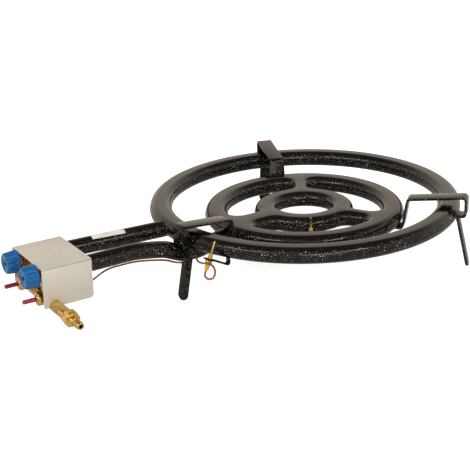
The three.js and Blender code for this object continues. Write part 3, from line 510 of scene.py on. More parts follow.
def paint_bore_shade(bm, spot, axis, reach):
    """Gives the second material, the painted bore shade, to faces whose middles are within reach of a line
    along that axis.
    """
    middle = world(spot)
    for face in bm.faces:
        away = face.calc_center_median() - middle
        away[axis] = 0
        if away.length < reach / 1000:
            face.material_index = 1


# Ports and edges of both burners
PORT_RADIUS, PORT_DEPTH, PORT_TILT = 1.3, 2.2, math.radians(40)
PORT_CORNERS = 6  # that a port's mouth has at least


def nearest(bm, spots):
    tree = KDTree(len(bm.verts))
    bm.verts.ensure_lookup_table()
    for i, v in enumerate(bm.verts):
        tree.insert(v.co, i)
    tree.balance()
    return [bm.verts[tree.find(s)[1]] for s in spots]


def port_holes(bm, spots):
    """Opens a round port at the vertex that is nearest to each spot, and paints shade on its walls and bottom
    with the second material.
    """
    made = bmesh.ops.bevel(bm, geom=nearest(bm, spots), offset=PORT_RADIUS / 1000, segments=2,
                           profile=0.5, affect="VERTICES")
    mouths = [f for f in made["faces"] if f.is_valid and len(f.verts) >= PORT_CORNERS]
    for mouth in mouths:
        inward = -mouth.normal * (PORT_DEPTH / 1000)
        for bottom in bmesh.ops.extrude_discrete_faces(bm, faces=[mouth])["faces"]:
            bmesh.ops.translate(bm, verts=bottom.verts, vec=inward)
            bottom.material_index = 1
            for edge in bottom.edges:
                for wall in edge.link_faces:
                    wall.material_index = 1


def port_row(edge, outward, count, seam):
    """Where one row of ports is, on the rounded edge at that radius, with the seam at that height."""
    inset = CORNER * (1 - math.cos(PORT_TILT))
    radius = edge - inset if outward else edge + inset
    height = seam + HALF - CORNER + CORNER * math.sin(PORT_TILT)
    turns = [2 * math.pi * (i + 0.5) / count for i in range(count)]
    return [world((*polar(radius, turn), height)) for turn in turns]


def shell_edge(side, inset):
    """A shell's rounded edge, from inset behind it at the seam to the flat face, as (outward, up) points."""
    grow = 0.0 if side > 0 else LAP
    corner = CORNER + grow
    quarter = arc(grow - corner, HALF - corner, corner, 0, 90, 9)
    if side > 0:
        return [(-inset, 0.0), (0.0, 0.0), *quarter]
    return [(grow - inset, 0.0), (grow - 0.35, 0.0), (grow - 0.05, 0.25), (grow, 0.7), *quarter[1:]]


# Outer ring
RING_SEGMENTS, RING_PORTS = 256, 32


def ring_profile(side):
    """One half of the outer ring's section, as (radius, height) points from the outside in."""
    outside = [(OUTER_WIDTH / 2 + a, b) for a, b in shell_edge(side, 1.0)]
    outside += [((OUTER_WIDTH / 2 - CORNER) / 2, HALF), (0.0, HALF)]
    inside = [(-a, b) for a, b in reversed(outside[:-1])]
    return [(MIDDLE + a, side * b) for a, b in [*outside, *inside]]


for side, label in HALVES:
    bm = bmesh.new()
    profile = ring_profile(side)
    lathe(bm, [*profile, profile[0]], RING_SEGMENTS)
    bmesh.ops.remove_doubles(bm, verts=bm.verts, dist=MERGE)
    bmesh.ops.recalc_face_normals(bm, faces=bm.faces)
    if side > 0:
        outer_row = port_row(OUTER, True, RING_PORTS, 0)
        inner_row = port_row(OUTER - OUTER_WIDTH, False, RING_PORTS, 0)
        port_holes(bm, outer_row + inner_row)
    finish_piece(bm, f"outer_ring_{label}", ENAMEL, [f"outer_ring_{label}_shell"], sharp=50, extra=PAINTED_BORE_SHADE)

# Inner burner
BRIDGE, FILLET = 30.0, 14.0  # the bridges' width, and the rounding of the windows' corners
FEED_BRIDGE, FEED_BRIDGE_REACH = 1, 29.0  # the bridge over the tube, and its wide side's reach
HOLE = CENTRE - INNER_WIDTH
SAME_SPOT = 0.05


def circle_edge(radius, count, outward):
    """Points on a circle, with the normals that point out of the metal."""
    normals = [Vector(spot) for spot in circle(1.0, count)]
    return [(n * radius, n if outward else -n) for n in normals]


def window_corners(angle, side, reach):
    """Centres of the rounded corners beside a bridge, and the turns where their arcs meet the rings."""
    edge = reach + FILLET
    out_x = math.sqrt((INNER - INNER_WIDTH - FILLET) ** 2 - edge ** 2)
    in_x = math.sqrt((CENTRE + FILLET) ** 2 - edge ** 2)
    out, inside = (radial(angle, x, side * edge, 0).xy for x in (out_x, in_x))
    return out, inside, math.atan2(edge, out_x), math.atan2(edge, in_x)


def window_edge(index):
    """The outline of the window between two bridges, with the normals that point out of the metal."""
    near = math.radians(120 * (index + 0.5))
    far = math.radians(120 * (index + 1.5))
    reach = FEED_BRIDGE_REACH if index == FEED_BRIDGE else BRIDGE / 2
    near_out, near_in, near_out_turn, near_in_turn = window_corners(near, 1, reach)
    far_out, far_in, far_out_turn, far_in_turn = window_corners(far, -1, BRIDGE / 2)
    middle = Vector((0, 0))
    quarter = math.pi / 2
    stretches = (
        (middle, INNER - INNER_WIDTH, near + near_out_turn, far - far_out_turn, 30, 1),
        (far_out, FILLET, far - far_out_turn, far + quarter, 8, 1),
        (far_in, FILLET, far + quarter, far + 2 * quarter - far_in_turn, 6, 1),
        (middle, CENTRE, far - far_in_turn, near + near_in_turn, 18, -1),
        (near_in, FILLET, near + near_in_turn + 2 * quarter, near + 3 * quarter, 6, 1),
        (near_out, FILLET, near - quarter, near + near_out_turn, 8, 1),
    )
    made = []
    for centre, radius, start, end, steps, way in stretches:
        for i in range(steps + 1):
            n = Vector(polar(1.0, start + (end - start) * i / steps))
            spot = (centre + n * radius, -n * way)
            if not made or (made[-1][0] - spot[0]).length > SAME_SPOT:
                made.append(spot)
    if (made[0][0] - made[-1][0]).length < SAME_SPOT:
        made.pop()
    return made


def pressed_half(side):
    """One half of the inner burner: rounded edges along every outline, and flat faces between them."""
    bm = bmesh.new()
    outlines = [circle_edge(INNER, 240, True), circle_edge(HOLE, 120, False)]
    outlines += [window_edge(i) for i in range(3)]
    tops, feet = [], []
    for outline in outlines:
        rows = []
        for out, height in shell_edge(side, 1.2):
            spots = [(*(p + n * out), side * height - DROP) for p, n in outline]
            rows.append([bm.verts.new(world(spot)) for spot in spots])
        for a, b in zip(rows, rows[1:]):
            stitch(bm, a, b)
        tops.append(rows[-1])
        feet.append(rows[0])
    for loops in (tops, feet):
        edges = []
        for row in loops:
            edges += [bm.edges.get(pair) for pair in zip(row, [*row[1:], row[0]])]
        bmesh.ops.triangle_fill(bm, use_beauty=True, use_dissolve=False, edges=edges)
    bmesh.ops.recalc_face_normals(bm, faces=bm.faces)
    return bm


for side, label in HALVES:
    bm = pressed_half(side)
    if side > 0:
        port_holes(bm, port_row(INNER, True, 20, -DROP) + port_row(HOLE, False, 10, -DROP))
    finish_piece(bm, f"inner_burner_{label}", ENAMEL, [f"inner_burner_{label}_shell"], sharp=50, extra=PAINTED_BORE_SHADE)

# Feed tubes
TUBE_START, SHIFT_X, TUBE_END = WALL - 24, WALL + TUBE, -OUTER + 7
DIP_RUN = 118.0  # along the inner tube, over which it goes down under the outer ring
DIP_SHARES = ((0, 0), (0.2, 0.03), (0.43, 0.2), (0.64, 0.42), (0.78, 0.72), (0.9, 0.95), (1, 1))
RISE_SHARES = ((0.25, 0.08), (0.55, 0.6), (0.8, 0.93), (1.1, 1))
DIP_AXIS = -HALF - TUBE - 3 * GAP
BELOW_SEAM = 0.6  # of the inner tube's axis, where it meets the inner burner
DIP_X = -math.sqrt(MIDDLE ** 2 - RING_LINE ** 2)
INNER_X = -math.sqrt(INNER ** 2 - RING_LINE ** 2)


def ring_side(y, z, radius, seam):
    """X of the near side of a ring's rounded outer wall at a height."""
    h = min(abs(z - seam), HALF)
    inset = 0.0
    if h >= HALF - CORNER:
        inset = CORNER - math.sqrt(max(CORNER ** 2 - (h - (HALF - CORNER)) ** 2, 0))
    return -math.sqrt((radius + LAP / 2 - inset) ** 2 - y ** 2)


def feed_tube(name, path):
    bm = bmesh.new()
    sweep(bm, path, circle(TUBE, 40))
    finish_piece(bm, f"{name}_tube", ENAMEL, [f"{name}_feed_tube"], sharp=50)


def tube_weld(name, tube_y, tube_z, radius, seam):
    """A bead all round a tube where it meets a ring, kept off the ring's flat faces."""
    highest = HALF - 0.6
    path = []
    for across, rise in circle(TUBE + GAP, 56):
        y, z = tube_y + across, tube_z + rise
        if abs(z - seam) > highest:
            z = seam + math.copysign(highest, z - seam)
        path.append((ring_side(y, z, radius, seam), y, z))
    bead(f"{name}_tube_weld", path, 1.5, True)


outer_route = [
    (TUBE_START, LINE, AXIS), (SHIFT_X, LINE, AXIS), (-OUTER, RING_LINE, AXIS), (TUBE_END, RING_LINE, AXIS),
]
feed_tube("outer", centripetal(outer_route, 8))
tube_weld("outer", RING_LINE, AXIS, OUTER, 0)

inner_route = [(TUBE_START, -LINE, AXIS), (SHIFT_X, -LINE, AXIS)]
for run, drop in DIP_SHARES:
    x = DIP_X - DIP_RUN * (1 - run)
    y = -LINE + (LINE - RING_LINE) * (x - SHIFT_X) / (DIP_X - SHIFT_X)
    inner_route.append((x, y, AXIS + (DIP_AXIS - AXIS) * drop))
for run, rise in RISE_SHARES:
    z = DIP_AXIS + (-DROP - DIP_AXIS) * rise
    inner_route.append((DIP_X + (INNER_X - DIP_X) * run, -RING_LINE, z))
feed_tube("inner", centripetal(inner_route, 6))
tube_weld("inner", -RING_LINE, -DROP - BELOW_SEAM, INNER, -DROP)

# Pan supports and legs
BAR, LEG, THICK, BEND = 25.0, 20.0, 4.0, 5.0  # the bars' width, the legs' width, and their steel and bends
FIRST_TURN = 72.1  # degrees
TUBE_SUPPORT, TUBE_SUPPORT_TURN = 1, -0.8  # the one over the inner tube, and how far its bar is turned on
SKEW = math.radians(-6.5)  # of that bar, about its own middle
LEG_TURNS = [math.radians(FIRST_TURN + 120 * i) for i in range(3)]
BAR_TURNS = [*LEG_TURNS]
BAR_TURNS[TUBE_SUPPORT] += math.radians(TUBE_SUPPORT_TURN)
INNER_REACH, OUTER_REACH = INNER + 8.3, OUTER + 14.5  # of a bar's faces
BAR_MIDDLE = (INNER_REACH + OUTER_REACH) / 2
INNER_TOP, OUTER_TOP = 19 - THICK / 2, 28 - THICK / 2
OUTER_LUG, INNER_LUG = -5.0, -DROP - HALF - GAP - THICK / 2  # the lugs' heights
LUG_LENGTH, LUG_SLANT = 20.0, 6.0
LUG_START, LUG_END = INNER_REACH - LUG_SLANT - LUG_LENGTH, OUTER - 0.4
TUBE_UNDER_BAR = -19.4  # the inner tube's height below that support's inner end
LEG_DROP = 12.0
TOP_REACH = OUTER + 0.5  # of a leg's middle, at LEG_DROP below the seam
FOOT_REACH = TOP_REACH + 17
LEAN = math.atan((FOOT_REACH - TOP_REACH) / (STAND - LEG_DROP))
LEG_TOP = OUTER_LUG - THICK / 2 - GAP
BAR_OVER = [
    (INNER_REACH + THICK / 2, INNER_TOP), (OUTER_REACH - THICK / 2, OUTER_TOP),
    (OUTER_REACH - THICK / 2, OUTER_LUG), (LUG_END, OUTER_LUG),
]
INNER_FOOT = [(LUG_START, INNER_LUG), (LUG_START + LUG_LENGTH, INNER_LUG)]
TUBE_FOOT = [(INNER_REACH, -DROP + TUBE / 2)]


def bent(points, radius, steps=7):
    """A centre line in the (r, z) plane with its corners rounded to a radius."""
    points = [Vector(p) for p in points]
    out = [points[0]]
    for before, corner, after in zip(points, points[1:], points[2:]):
        back, onward = (before - corner).normalized(), (after - corner).normalized()
        half = back.angle(onward) / 2
        centre = corner + (back + onward).normalized() * (radius / math.sin(half))
        a = corner + back * (radius / math.tan(half)) - centre
        b = corner + onward * (radius / math.tan(half)) - centre
        start, bend = math.atan2(a.y, a.x), b.angle_signed(a)
        for i in range(steps + 1):
            out.append(centre + Vector(polar(1.0, start + bend * i / steps)) * radius)
    out.append(points[-1])
    return out


def bar_section(width, thickness, edge=0.8, steps=3):
    a, b = width / 2 - edge, thickness / 2 - edge
    made = []
    for cx, cy, start in ((a, b, 0), (-a, b, 90), (-a, -b, 180), (a, -b, 270)):
        made += arc(cx, cy, edge, start, start + 90, steps)
    return made


def pan_support(index, angle):
    """A flat bar bent over the outer ring, with the beads that hold its ends."""
    number = index + 1
    over_tube = index == TUBE_SUPPORT
    skew = SKEW if over_tube else 0.0
    c, s = math.cos(skew), math.sin(skew)

    def on_bar(r, side, z):
        run = r - BAR_MIDDLE
        return radial(angle, BAR_MIDDLE + run * c - side * s, run * s + side * c, z)

    bm = bmesh.new()
    line = bent([*(TUBE_FOOT if over_tube else INNER_FOOT), *BAR_OVER], BEND)
    across = radial(angle + skew, 0, 1, 0)
    sweep(bm, [on_bar(p.x, 0, p.y) for p in line], bar_section(BAR, THICK), across=across)
    finish_piece(bm, f"support_bar_{number}", ENAMEL, [f"pan_support_{number}"], sharp=60)
    for way, tag in ((1, "over"), (-1, "under")):
        path = []
        for side in np.linspace(-12, 12, 14) + (OUTER - BAR_MIDDLE) * s:
            r = math.sqrt((OUTER + 1) ** 2 - side ** 2)
            path.append(radial(angle, r, side, OUTER_LUG + way * THICK / 2 + 0.2 * math.sin(side)))
        bead(f"support_weld_{tag}_{number}", path, 1.2)
    if not over_tube:
        sides = np.linspace(-11.5, 11.5, 10)
        path = [radial(angle, LUG_START + 0.2, side, INNER_LUG + THICK / 2) for side in sides]
        bead(f"foot_weld_{number}", path, 1.1)
        return
    wall = TUBE + 0.4
    for way, tag in ((-1, "near"), (1, "far")):
        path = []
        for side in np.linspace(-12, 2, 12):
            spot = on_bar(INNER_REACH + way * THICK / 2, side, 0)
            off = min(abs(spot.y + RING_LINE), wall * 0.98)
            path.append((spot.x, spot.y, TUBE_UNDER_BAR + math.sqrt(wall ** 2 - off ** 2)))
        bead(f"tube_foot_weld_{tag}", path, 1.0)


def leg(index, angle):
    """A flat leg with a round foot, leaning out, with the beads that hold it to the outer ring."""
    number = index + 1
    length = (LEG_TOP + STAND) / math.cos(LEAN)
    outline = [(LEG / 2, length), (-LEG / 2, length), *arc(0, LEG / 2, LEG / 2, 180, 360, 24)]
    faces = []
    for depth in (-THICK / 2, THICK / 2):
        face = []
        for side, along in outline:
            r = FOOT_REACH + depth * math.cos(LEAN) - along * math.sin(LEAN)
            z = -STAND + depth * math.sin(LEAN) + along * math.cos(LEAN)
            face.append(world(radial(angle, r, side, z)))
        faces.append(face)
    bm = bmesh.new()
    loft(bm, faces)
    for v in bm.verts:
        v.co.z = max(v.co.z, 0.0)
    bmesh.ops.recalc_face_normals(bm, faces=bm.faces)
    smooth_bevel(bm, 0.8, 60, 3)
    finish_piece(bm, f"leg_strip_{number}", ENAMEL, [f"leg_{number}"], sharp=60)
    for way, tag in ((-1, "a"), (1, "b")):
        downs = np.linspace(0, 1, 8)
        path = [radial(angle, OUTER + 0.4 - t * 1.5, way * 10.2, -8.4 - t * 4.2) for t in downs]
        bead(f"leg_weld_{number}_{tag}", path, 1.1)


for index, angle in enumerate(BAR_TURNS):
    pan_support(index, angle)
for index, angle in enumerate(LEG_TURNS):
    leg(index, angle)

# Control box
RIM_BAND, RIM_SINK = 0.6, 0.9  # the top of the body's sides is lowered, so that the lid lies proud of it


def near_corner(edge):
    """Whether this is one of the box's two folded vertical edges beside the tubes."""
    a, b = ((v.co - ORIGIN) * 1000 for v in edge.verts)
    return (abs(a.x - b.x) < 0.1 and abs(a.y - b.y) < 0.1 and abs(a.z - b.z) > 20
            and a.x > WALL - 2 and abs(a.y) > BOX_SIDE - 2)


box = dressed("control_box_body", SHEET, 0.3, folds=(0.55, near_corner))
rim = max(v.co.z for v in box.data.vertices)
for v in box.data.vertices:
    if v.co.z > rim - RIM_BAND / 1000:
        v.co.z -= RIM_SINK / 1000
dressed("control_box_lid", SHEET, 0.35)

# Gas inlet
MANIFOLD_X, MANIFOLD_Z, INLET = MOUTH + 17.5, -47.6, -104.0
NUT_STEPS = 72
NOZZLE_BORE = 3.1
MANIFOLD = [(0, 0), (8.6, 0), (9, 0.5), (9, -147.4), (8.4, -148), (0, -148)]
NOZZLE = [
    (0, 0), (8, 0), (8, 3), (5, 3), (5, 9), (7, 9), (7, 10.5), (5, 15.5), (5, 24.5), (6.2, 25.6), (5.3, 29.4),
    (6.2, 31.0), (5.1, 35.5), (4.6, 36), (3.2, 36), (3.0, 35.6), (3.0, 24), (0, 24),
]


def at_inlet(outward):
    """Local Z runs towards -Y, out of the manifold's end."""
    return at(MANIFOLD_X, INLET - outward, MANIFOLD_Z, TOWARDS_MINUS_Y)


def chamfered_nut(name, node, across, length, bore, place):
    """A hexagon nut with both of its faces turned to a cone."""
    corner, face = across / math.sqrt(3), across / 2 * 0.97
    rings = []
    for height, limit in ((0, face), (length * 0.09, corner), (length * 0.91, corner), (length, face)):
        ring = []
        for i in range(NUT_STEPS):
            turn = 2 * math.pi * i / NUT_STEPS
            flat = across / 2 / math.cos((turn % (math.pi / 3)) - math.pi / 6)
            r = min(flat - 0.15 * max(0, flat - corner * 0.985), limit)
            ring.append((*polar(r, turn), height))
        rings.append(ring)
    rings += [[(*spot, height) for spot in circle(bore, NUT_STEPS)] for height in (length, 0)]
    bm = bmesh.new()
    loft(bm, [[world(place @ Vector(p)) for p in ring] for ring in rings], loop=True)
    finish_piece(bm, name, BRASS, [node], sharp=30)


turned("manifold_pipe", MANIFOLD, BRASS, at_inlet(0), ["manifold_tube"], segments=48)
dressed("manifold_end_plug", BRASS, 0.8)
chamfered_nut("union_nut", "inlet_union_nut", 22.0, 14.0, 5.4, at_inlet(-5))
bm = bmesh.new()
lathe(bm, rounded(NOZZLE, 0.35), 40, at_inlet(GAP))
# Painted shade in the nozzle's bore.
paint_bore_shade(bm, (MANIFOLD_X, 0, MANIFOLD_Z), 1, NOZZLE_BORE)
finish_piece(bm, "inlet_nozzle", BRASS, ["hose_nozzle"], extra=PAINTED_BORE_SHADE)

# Gas lines
# These turned profiles are (radius, X from the mouth of the box) points.
BUTTON_Z = AXIS - 36
SPINDLE = [(0, -13.5), (1.7, -13.5), (1.9, -13.2), (1.9, -12.9), (4, -12.9), (4, 5.8), (0, 5.8)]
BUTTON = [(0, -24.9), (1.9, -24.9), (3.0, -24.2), (3.3, -23.0), (3.3, 0), (2.4, 0.8), (0, 0.9)]
COLLAR = [(3.7, -4.1), (6.4, -4.1), (6.9, -3.5), (6.9, -2.9), (3.7, -2.9), (3.7, -4.1)]
WASHER = [(4.3, -1.0), (6.2, -1.0), (6.4, -0.6), (6.4, 0.4), (4.3, 0.4), (4.3, -1.0)]
LINE_PARTS = (
    ("tap_body", BRONZE, 0.9), ("tap_plug", BRASS, 0.3), ("tap_bonnet", BRASS, 0.6),
    ("magnet_head", BRASS, 0.9), ("injector", BRASS, 0.3), ("air_cup", SHEET, 0.25),
    ("sensor_connector", BRASS, 0.5),
)

# Knobs
# Each station is (distance out from the knob's rear, radius, depth of the flutes).
KNOB_REAR = MOUTH - 1.5
KNOB_BORE = 3.3
FLUTES, STEPS_PER_FLUTE = 12, 10
KNOB_STATIONS = [
    (0, 8.0, 0), (0, 17.6, 0), (0.4, 18.0, 0), (2.6, 18.0, 0), (3.0, 17.7, 0), (3.1, 17.1, 0.55),
    (4.1, 17.1, 1.6), (8.5, 16.8, 1.9), (13.5, 16.4, 1.9), (17.0, 16.0, 1.8), (18.7, 15.6, 1.5),
    (19.6, 14.5, 0.7), (19.95, 13.6, 0.3), (20.0, 12.4, 0), (19.95, 10.4, 0), (19.4, 9.8, 0),
    (19.1, 9.0, 0), (19.05, 5.2, 0), (19.4, 4.7, 0), (19.5, 3.9, 0), (19.2, 3.2, 0), (12.5, 3.1, 0),
]


def knob(y):
    bm = bmesh.new()
    count = FLUTES * STEPS_PER_FLUTE
    rings = []
    for out, radius, depth in KNOB_STATIONS:
        ring = []
        for i in range(count):
            turn = 2 * math.pi * i / count
            wave = (1 - math.cos(FLUTES * turn)) / 2
            across, rise = polar(radius - depth * wave ** 1.4, turn)
            ring.append(world((KNOB_REAR - out, y + across, AXIS + rise)))
        rings.append(ring)
    loft(bm, rings)
    # Painted shade in the knob's centre hole.
    paint_bore_shade(bm, (0, y, AXIS), 0, KNOB_BORE)
    return bm


for name, y in LINES:
    turning, sliding = f"{name}_knob_turning", f"{name}_button_sliding"
    tap_line, button_line = at(MOUTH, y, AXIS, ALONG_X), at(MOUTH, y, BUTTON_Z, ALONG_X)
    finish_piece(knob(y), f"{name}_fluted_knob", BLUE, [f"{name}_knob"], turning, 55, PAINTED_BORE_SHADE)
    turned(f"{name}_spindle_bar", SPINDLE, STEEL, tap_line, [f"{name}_tap_spindle"], turning, 24, 0.2)
    turned(f"{name}_button_rod", BUTTON, RED, button_line, [f"{name}_push_button"], sliding, 32, 0.5)
    for part, material, bevel in LINE_PARTS:
        dressed(f"{name}_{part}", material, bevel, turning if part == "tap_plug" else "burner")
    turned(f"{name}_head_collar", COLLAR, BRASS, button_line, segments=32, radius=0.2)
    turned(f"{name}_spindle_washer", WASHER, STEEL, tap_line, segments=32, radius=0.1)

# Thermocouples
BRACKET_HALF = 1.0  # half the thickness of a bracket
SENSOR_NUT, SENSOR_BODY, SLEEVE_LENGTH = 4.0, 9.0, 11.0
THREAD = SENSOR_NUT + 2 * BRACKET_HALF + 3 * GAP  # of a sensor's body, below its shoulder
SENSOR = [
    (0, -THREAD), (2.6, -THREAD), (2.8, 0.3 - THREAD), (2.8, 0), (3.5, 0), (3.5, 3), (3.1, 3.4), (3.1, 4.2),
    (3.5, 4.6), (3.5, 8), (2.7, SENSOR_BODY), (0, SENSOR_BODY),
]
PROBE_ROD = [(0, 0), (1.6, 0), (1.6, 11), (1.45, 11.5), (1.45, 16), (1.1, 17.6), (0.5, 18.3), (0, 18.4)]
SLEEVE = [
    (1.4, 0), (3.0, 0), (3.4, -0.8), (3.4, -6.5), (3.15, -7.2), (3.1, -10), (2.5, -SLEEVE_LENGTH),
    (1.4, -SLEEVE_LENGTH), (1.4, 0),
]
OUTER_SENSOR_Y = -112.0
OUTER_SENSOR_X = -math.sqrt(OUTER ** 2 - OUTER_SENSOR_Y ** 2) - 19.5
OUTER_SENSOR = at(OUTER_SENSOR_X, OUTER_SENSOR_Y, -9.2, Matrix.Rotation(math.radians(22), 4, "Y"))
INNER_SENSOR_Z = -DROP - HALF - GAP - BRACKET_HALF + 6.3
INNER_SENSOR = Matrix.Rotation(math.radians(-117.3), 4, "Z") @ at(CENTRE + 10.5, 0, INNER_SENSOR_Z)
LEAD_RADIUS = 1.5
LEAD_END = MOUTH - 3 + 11 + 15 + 8 + 3 * GAP  # past the magnet head, the tap's neck and the connector
LEAD_END_Z = AXIS - 27
OUTER_LEAD = [
    (-252, -112.5, -33), (-247.5, -115, -38.5), (-241.5, -118, -37), (-238.5, -119.5, -29),
    (-241, -120, -19), (-249, -120.5, -12), (-257, -117.5, -10), (-260, -109, -9.5),
    (-257, -99, -9), (-249, -87, -9.5), (-243.5, -74, -14), (-240.5, -60, -20.5),
    (-243, -48, -28), (-247.5, -39.5, -36.5), (-260, -35, -35.2), (-273, -34, -29.5),
    (-298, -34, -23.4), (-325, -34, -19.2), (-350, -34.5, -18.6), (-372, -37, -18.6),
    (-386, -41, -20.8), (-398, -43.5, -25.2), (-407, -44, -28.5), (-420, -36, -33),
    (-433, -10, -36), (-441, 16, -34),
]
INNER_LEAD = [
    (-42, -80.3, -47), (-48, -78, -51), (-58, -73, -50), (-75, -66, -43),
    (-100, -57, -36), (-125, -47, -33.5), (-148, -37, -32.8), (-165, -22, -32),
    (-178, -12, -30), (-195, -9, -28), (-215, -8, -24.5), (-232, -8, -20),
    (-250, -6, -17), (-265, 0, -14), (-280, 10, -14.5), (-296, 19, -17.5),
    (-315, 24, -18.6), (-345, 25, -18.4), (-375, 24, -18.8), (-392, 19, -21),
    (-407, 14, -24), (-420, 4, -25.5), (-433, -16, -27),
]


def thermocouple(name, place):
    """The turned pieces of one sensor, above and below its bracket. Returns where its lead leaves it."""
    shoulder = BRACKET_HALF + GAP
    sleeve_top = shoulder - THREAD - GAP

    def raised(height):
        return place @ at(0, 0, height)

    turned(f"{name}_thermocouple_body", SENSOR, BRASS, raised(shoulder), [f"{name}_sensor_body"],
           segments=24, radius=0.2)
    turned(f"{name}_thermocouple_probe", PROBE_ROD, PROBE, raised(shoulder + SENSOR_BODY - 0.1),
           [f"{name}_sensor_probe"], segments=20, radius=0.3)
    chamfered_nut(f"{name}_thermocouple_nut", f"{name}_sensor_nut", 10.0, SENSOR_NUT, 2.9,
                  raised(-shoulder - SENSOR_NUT))
    turned(f"{name}_thermocouple_sleeve", SLEEVE, YELLOW, raised(sleeve_top), [f"{name}_sensor_sleeve"],
           segments=24)
    return sleeve_top - SLEEVE_LENGTH - GAP


sensors = (("outer", OUTER_SENSOR, OUTER_LEAD, LINE), ("inner", INNER_SENSOR, INNER_LEAD, -LINE))
for name, place, route, y in sensors:
    leaves = thermocouple(name, place)
    start = [place @ Vector((0, 0, leaves)), place @ Vector((0, 0, leaves - 3))]
    end = [Vector((LEAD_END + 4, y, LEAD_END_Z)), Vector((LEAD_END, y, LEAD_END_Z))]
    bm = bmesh.new()
    sweep(bm, centripetal([*start, *route, *end], 7), circle(LEAD_RADIUS, 12))
    finish_piece(bm, f"{name}_capillary", COPPER, [f"{name}_sensor_lead"], sharp=60)
    dressed(f"{name}_sensor_bracket", ENAMEL, 0.4)

# Bare label on the far tube
LABEL_START, LABEL_END = -366.0, -312.0
LABEL_LOW, LABEL_HIGH = 62.0, 132.0  # degrees round the tube
LABEL_SKEW = 0.10  # degrees round the tube for each millimetre along it
LABEL_THICKNESS = 0.15
LABEL_RADIUS = TUBE + 0.12
far_line = centripetal(outer_route, 24)
rows = []
for x in np.linspace(LABEL_START, LABEL_END, 10):
    skew = (x - (LABEL_START + LABEL_END) / 2) * LABEL_SKEW
    y = np.interp(x, [q.x for q in far_line], [q.y for q in far_line])
    row = []
    for turn in np.radians(np.linspace(LABEL_LOW + skew, LABEL_HIGH + skew, 18)):
        across, rise = polar(LABEL_RADIUS, turn)
        row.append(world((x, y + across, AXIS + rise)))
    rows.append(row)
bm = bmesh.new()
loft(bm, rows, closed=False)
label = finish_piece(bm, "tube_label", PAPER)
paper_sheet = label.modifiers.new("thickness", "SOLIDIFY")
paper_sheet.thickness = LABEL_THICKNESS / 1000
paper_sheet.offset = 0


# Floor
def emptied(owner):
    """The node tree of a material or world, with nothing in it."""
    owner.use_nodes = True
    owner.node_tree.nodes.clear()
    return owner.node_tree


def by_ray(tree, rays, kind, others, shown):
    """A shader that one kind of ray sees as shown, and the other rays as others."""
    made = tree.nodes.new("ShaderNodeMixShader")
    tree.links.new(rays.outputs[kind], made.inputs[0])
    tree.links.new(others, made.inputs[1])
    tree.links.new(shown, made.inputs[2])
    return made.outputs[0]


FLOOR, FLOOR_Z = 30.0, -0.0005  # metres
FLOOR_GLOW = 0.75  # that the camera alone sees, so that the floor is white
floor_mesh = bpy.data.meshes.new("floor")
floor_corners = [(FLOOR * x, FLOOR * y, FLOOR_Z) for x, y in ((-1, -1), (1, -1), (1, 1), (-1, 1))]
floor_mesh.from_pydata(floor_corners, [], [(0, 1, 2, 3)])
floor = bpy.data.objects.new("floor", floor_mesh)
scene.collection.objects.link(floor)
pale = bpy.data.materials.new("pale_floor")
tree = emptied(pale)
rays = tree.nodes.new("ShaderNodeLightPath")
diffuse = tree.nodes.new("ShaderNodeBsdfDiffuse")
diffuse.inputs["Color"].default_value = (0.8, 0.79, 0.77, 1)
white = tree.nodes.new("ShaderNodeEmission")
white.inputs["Strength"].default_value = FLOOR_GLOW
both = tree.nodes.new("ShaderNodeAddShader")
tree.links.new(diffuse.outputs[0], both.inputs[0])
tree.links.new(white.outputs[0], both.inputs[1])
surface = by_ray(tree, rays, "Is Camera Ray", diffuse.outputs[0], both.outputs[0])
tree.links.new(surface, tree.nodes.new("ShaderNodeOutputMaterial").inputs["Surface"])
floor_mesh.materials.append(pale)

# World
DAYLIGHT = 0.68
SIDES_STRENGTH, CEILING_STRENGTH = 1.08, 0.22  # in reflections, which the ceiling darkens
CEILING_START, CEILING_FULL = 0.50, 0.80  # upward part of a reflection's direction
sky = bpy.data.worlds.new("studio")
scene.world = sky
tree = emptied(sky)


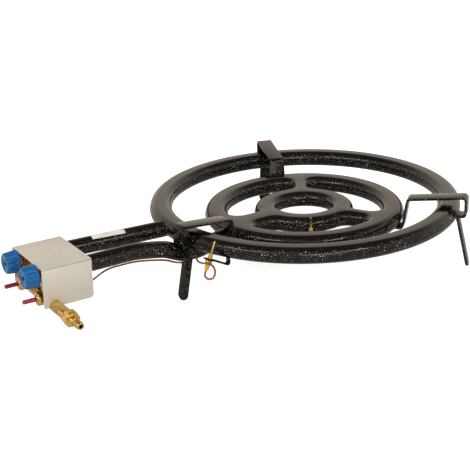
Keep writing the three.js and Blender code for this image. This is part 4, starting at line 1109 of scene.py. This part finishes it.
def background(color, strength):
    made = tree.nodes.new("ShaderNodeBackground")
    made.inputs["Color"].default_value = (*color, 1)
    made.inputs["Strength"].default_value = strength
    return made


rays = tree.nodes.new("ShaderNodeLightPath")
facing = tree.nodes.new("ShaderNodeTexCoord")
split = tree.nodes.new("ShaderNodeSeparateXYZ")
tree.links.new(facing.outputs["Generated"], split.inputs[0])
ceiling = tree.nodes.new("ShaderNodeMapRange")
ceiling.interpolation_type = "SMOOTHSTEP"
for key, number in (("From Min", CEILING_START), ("From Max", CEILING_FULL),
                    ("To Min", SIDES_STRENGTH), ("To Max", CEILING_STRENGTH)):
    ceiling.inputs[key].default_value = number
tree.links.new(split.outputs["Z"], ceiling.inputs["Value"])
daylight = background((1.0, 0.97, 0.92), DAYLIGHT)
reflected = background((1.0, 0.89, 0.76), SIDES_STRENGTH)
tree.links.new(ceiling.outputs["Result"], reflected.inputs["Strength"])
backdrop = background((1.0, 1.0, 1.0), 1.0)
lighting = by_ray(tree, rays, "Is Glossy Ray", daylight.outputs[0], reflected.outputs[0])
surface = by_ray(tree, rays, "Is Camera Ray", lighting, backdrop.outputs[0])
tree.links.new(surface, tree.nodes.new("ShaderNodeOutputWorld").inputs["Surface"])


# Lamps
def softbox(name, place, aim, size, power):
    data = bpy.data.lights.new(name, "AREA")
    data.shape = "RECTANGLE"
    data.size, data.size_y = size
    data.energy = power
    made = bpy.data.objects.new(name, data)
    scene.collection.objects.link(made)
    made.location = place
    made.rotation_euler = (Vector(aim) - Vector(place)).to_track_quat("-Z", "Y").to_euler()


softbox("key_light", (-1.6, -1.2, 2.2), (0, 0, 0), (1.6, 1.2), 4)
softbox("front_light", (-0.9, -2.5, 0.8), (-0.2, 0, 0.05), (1.2, 0.8), 12)
softbox("left_strip", (-2.2, -0.4, 1.5), (0, 0, 0), (1.6, 0.09), 14)
softbox("right_strip", (0.3, -2.3, 1.5), (0.1, 0, 0), (0.8, 0.10), 10)

scene.view_settings.view_transform = "Standard"
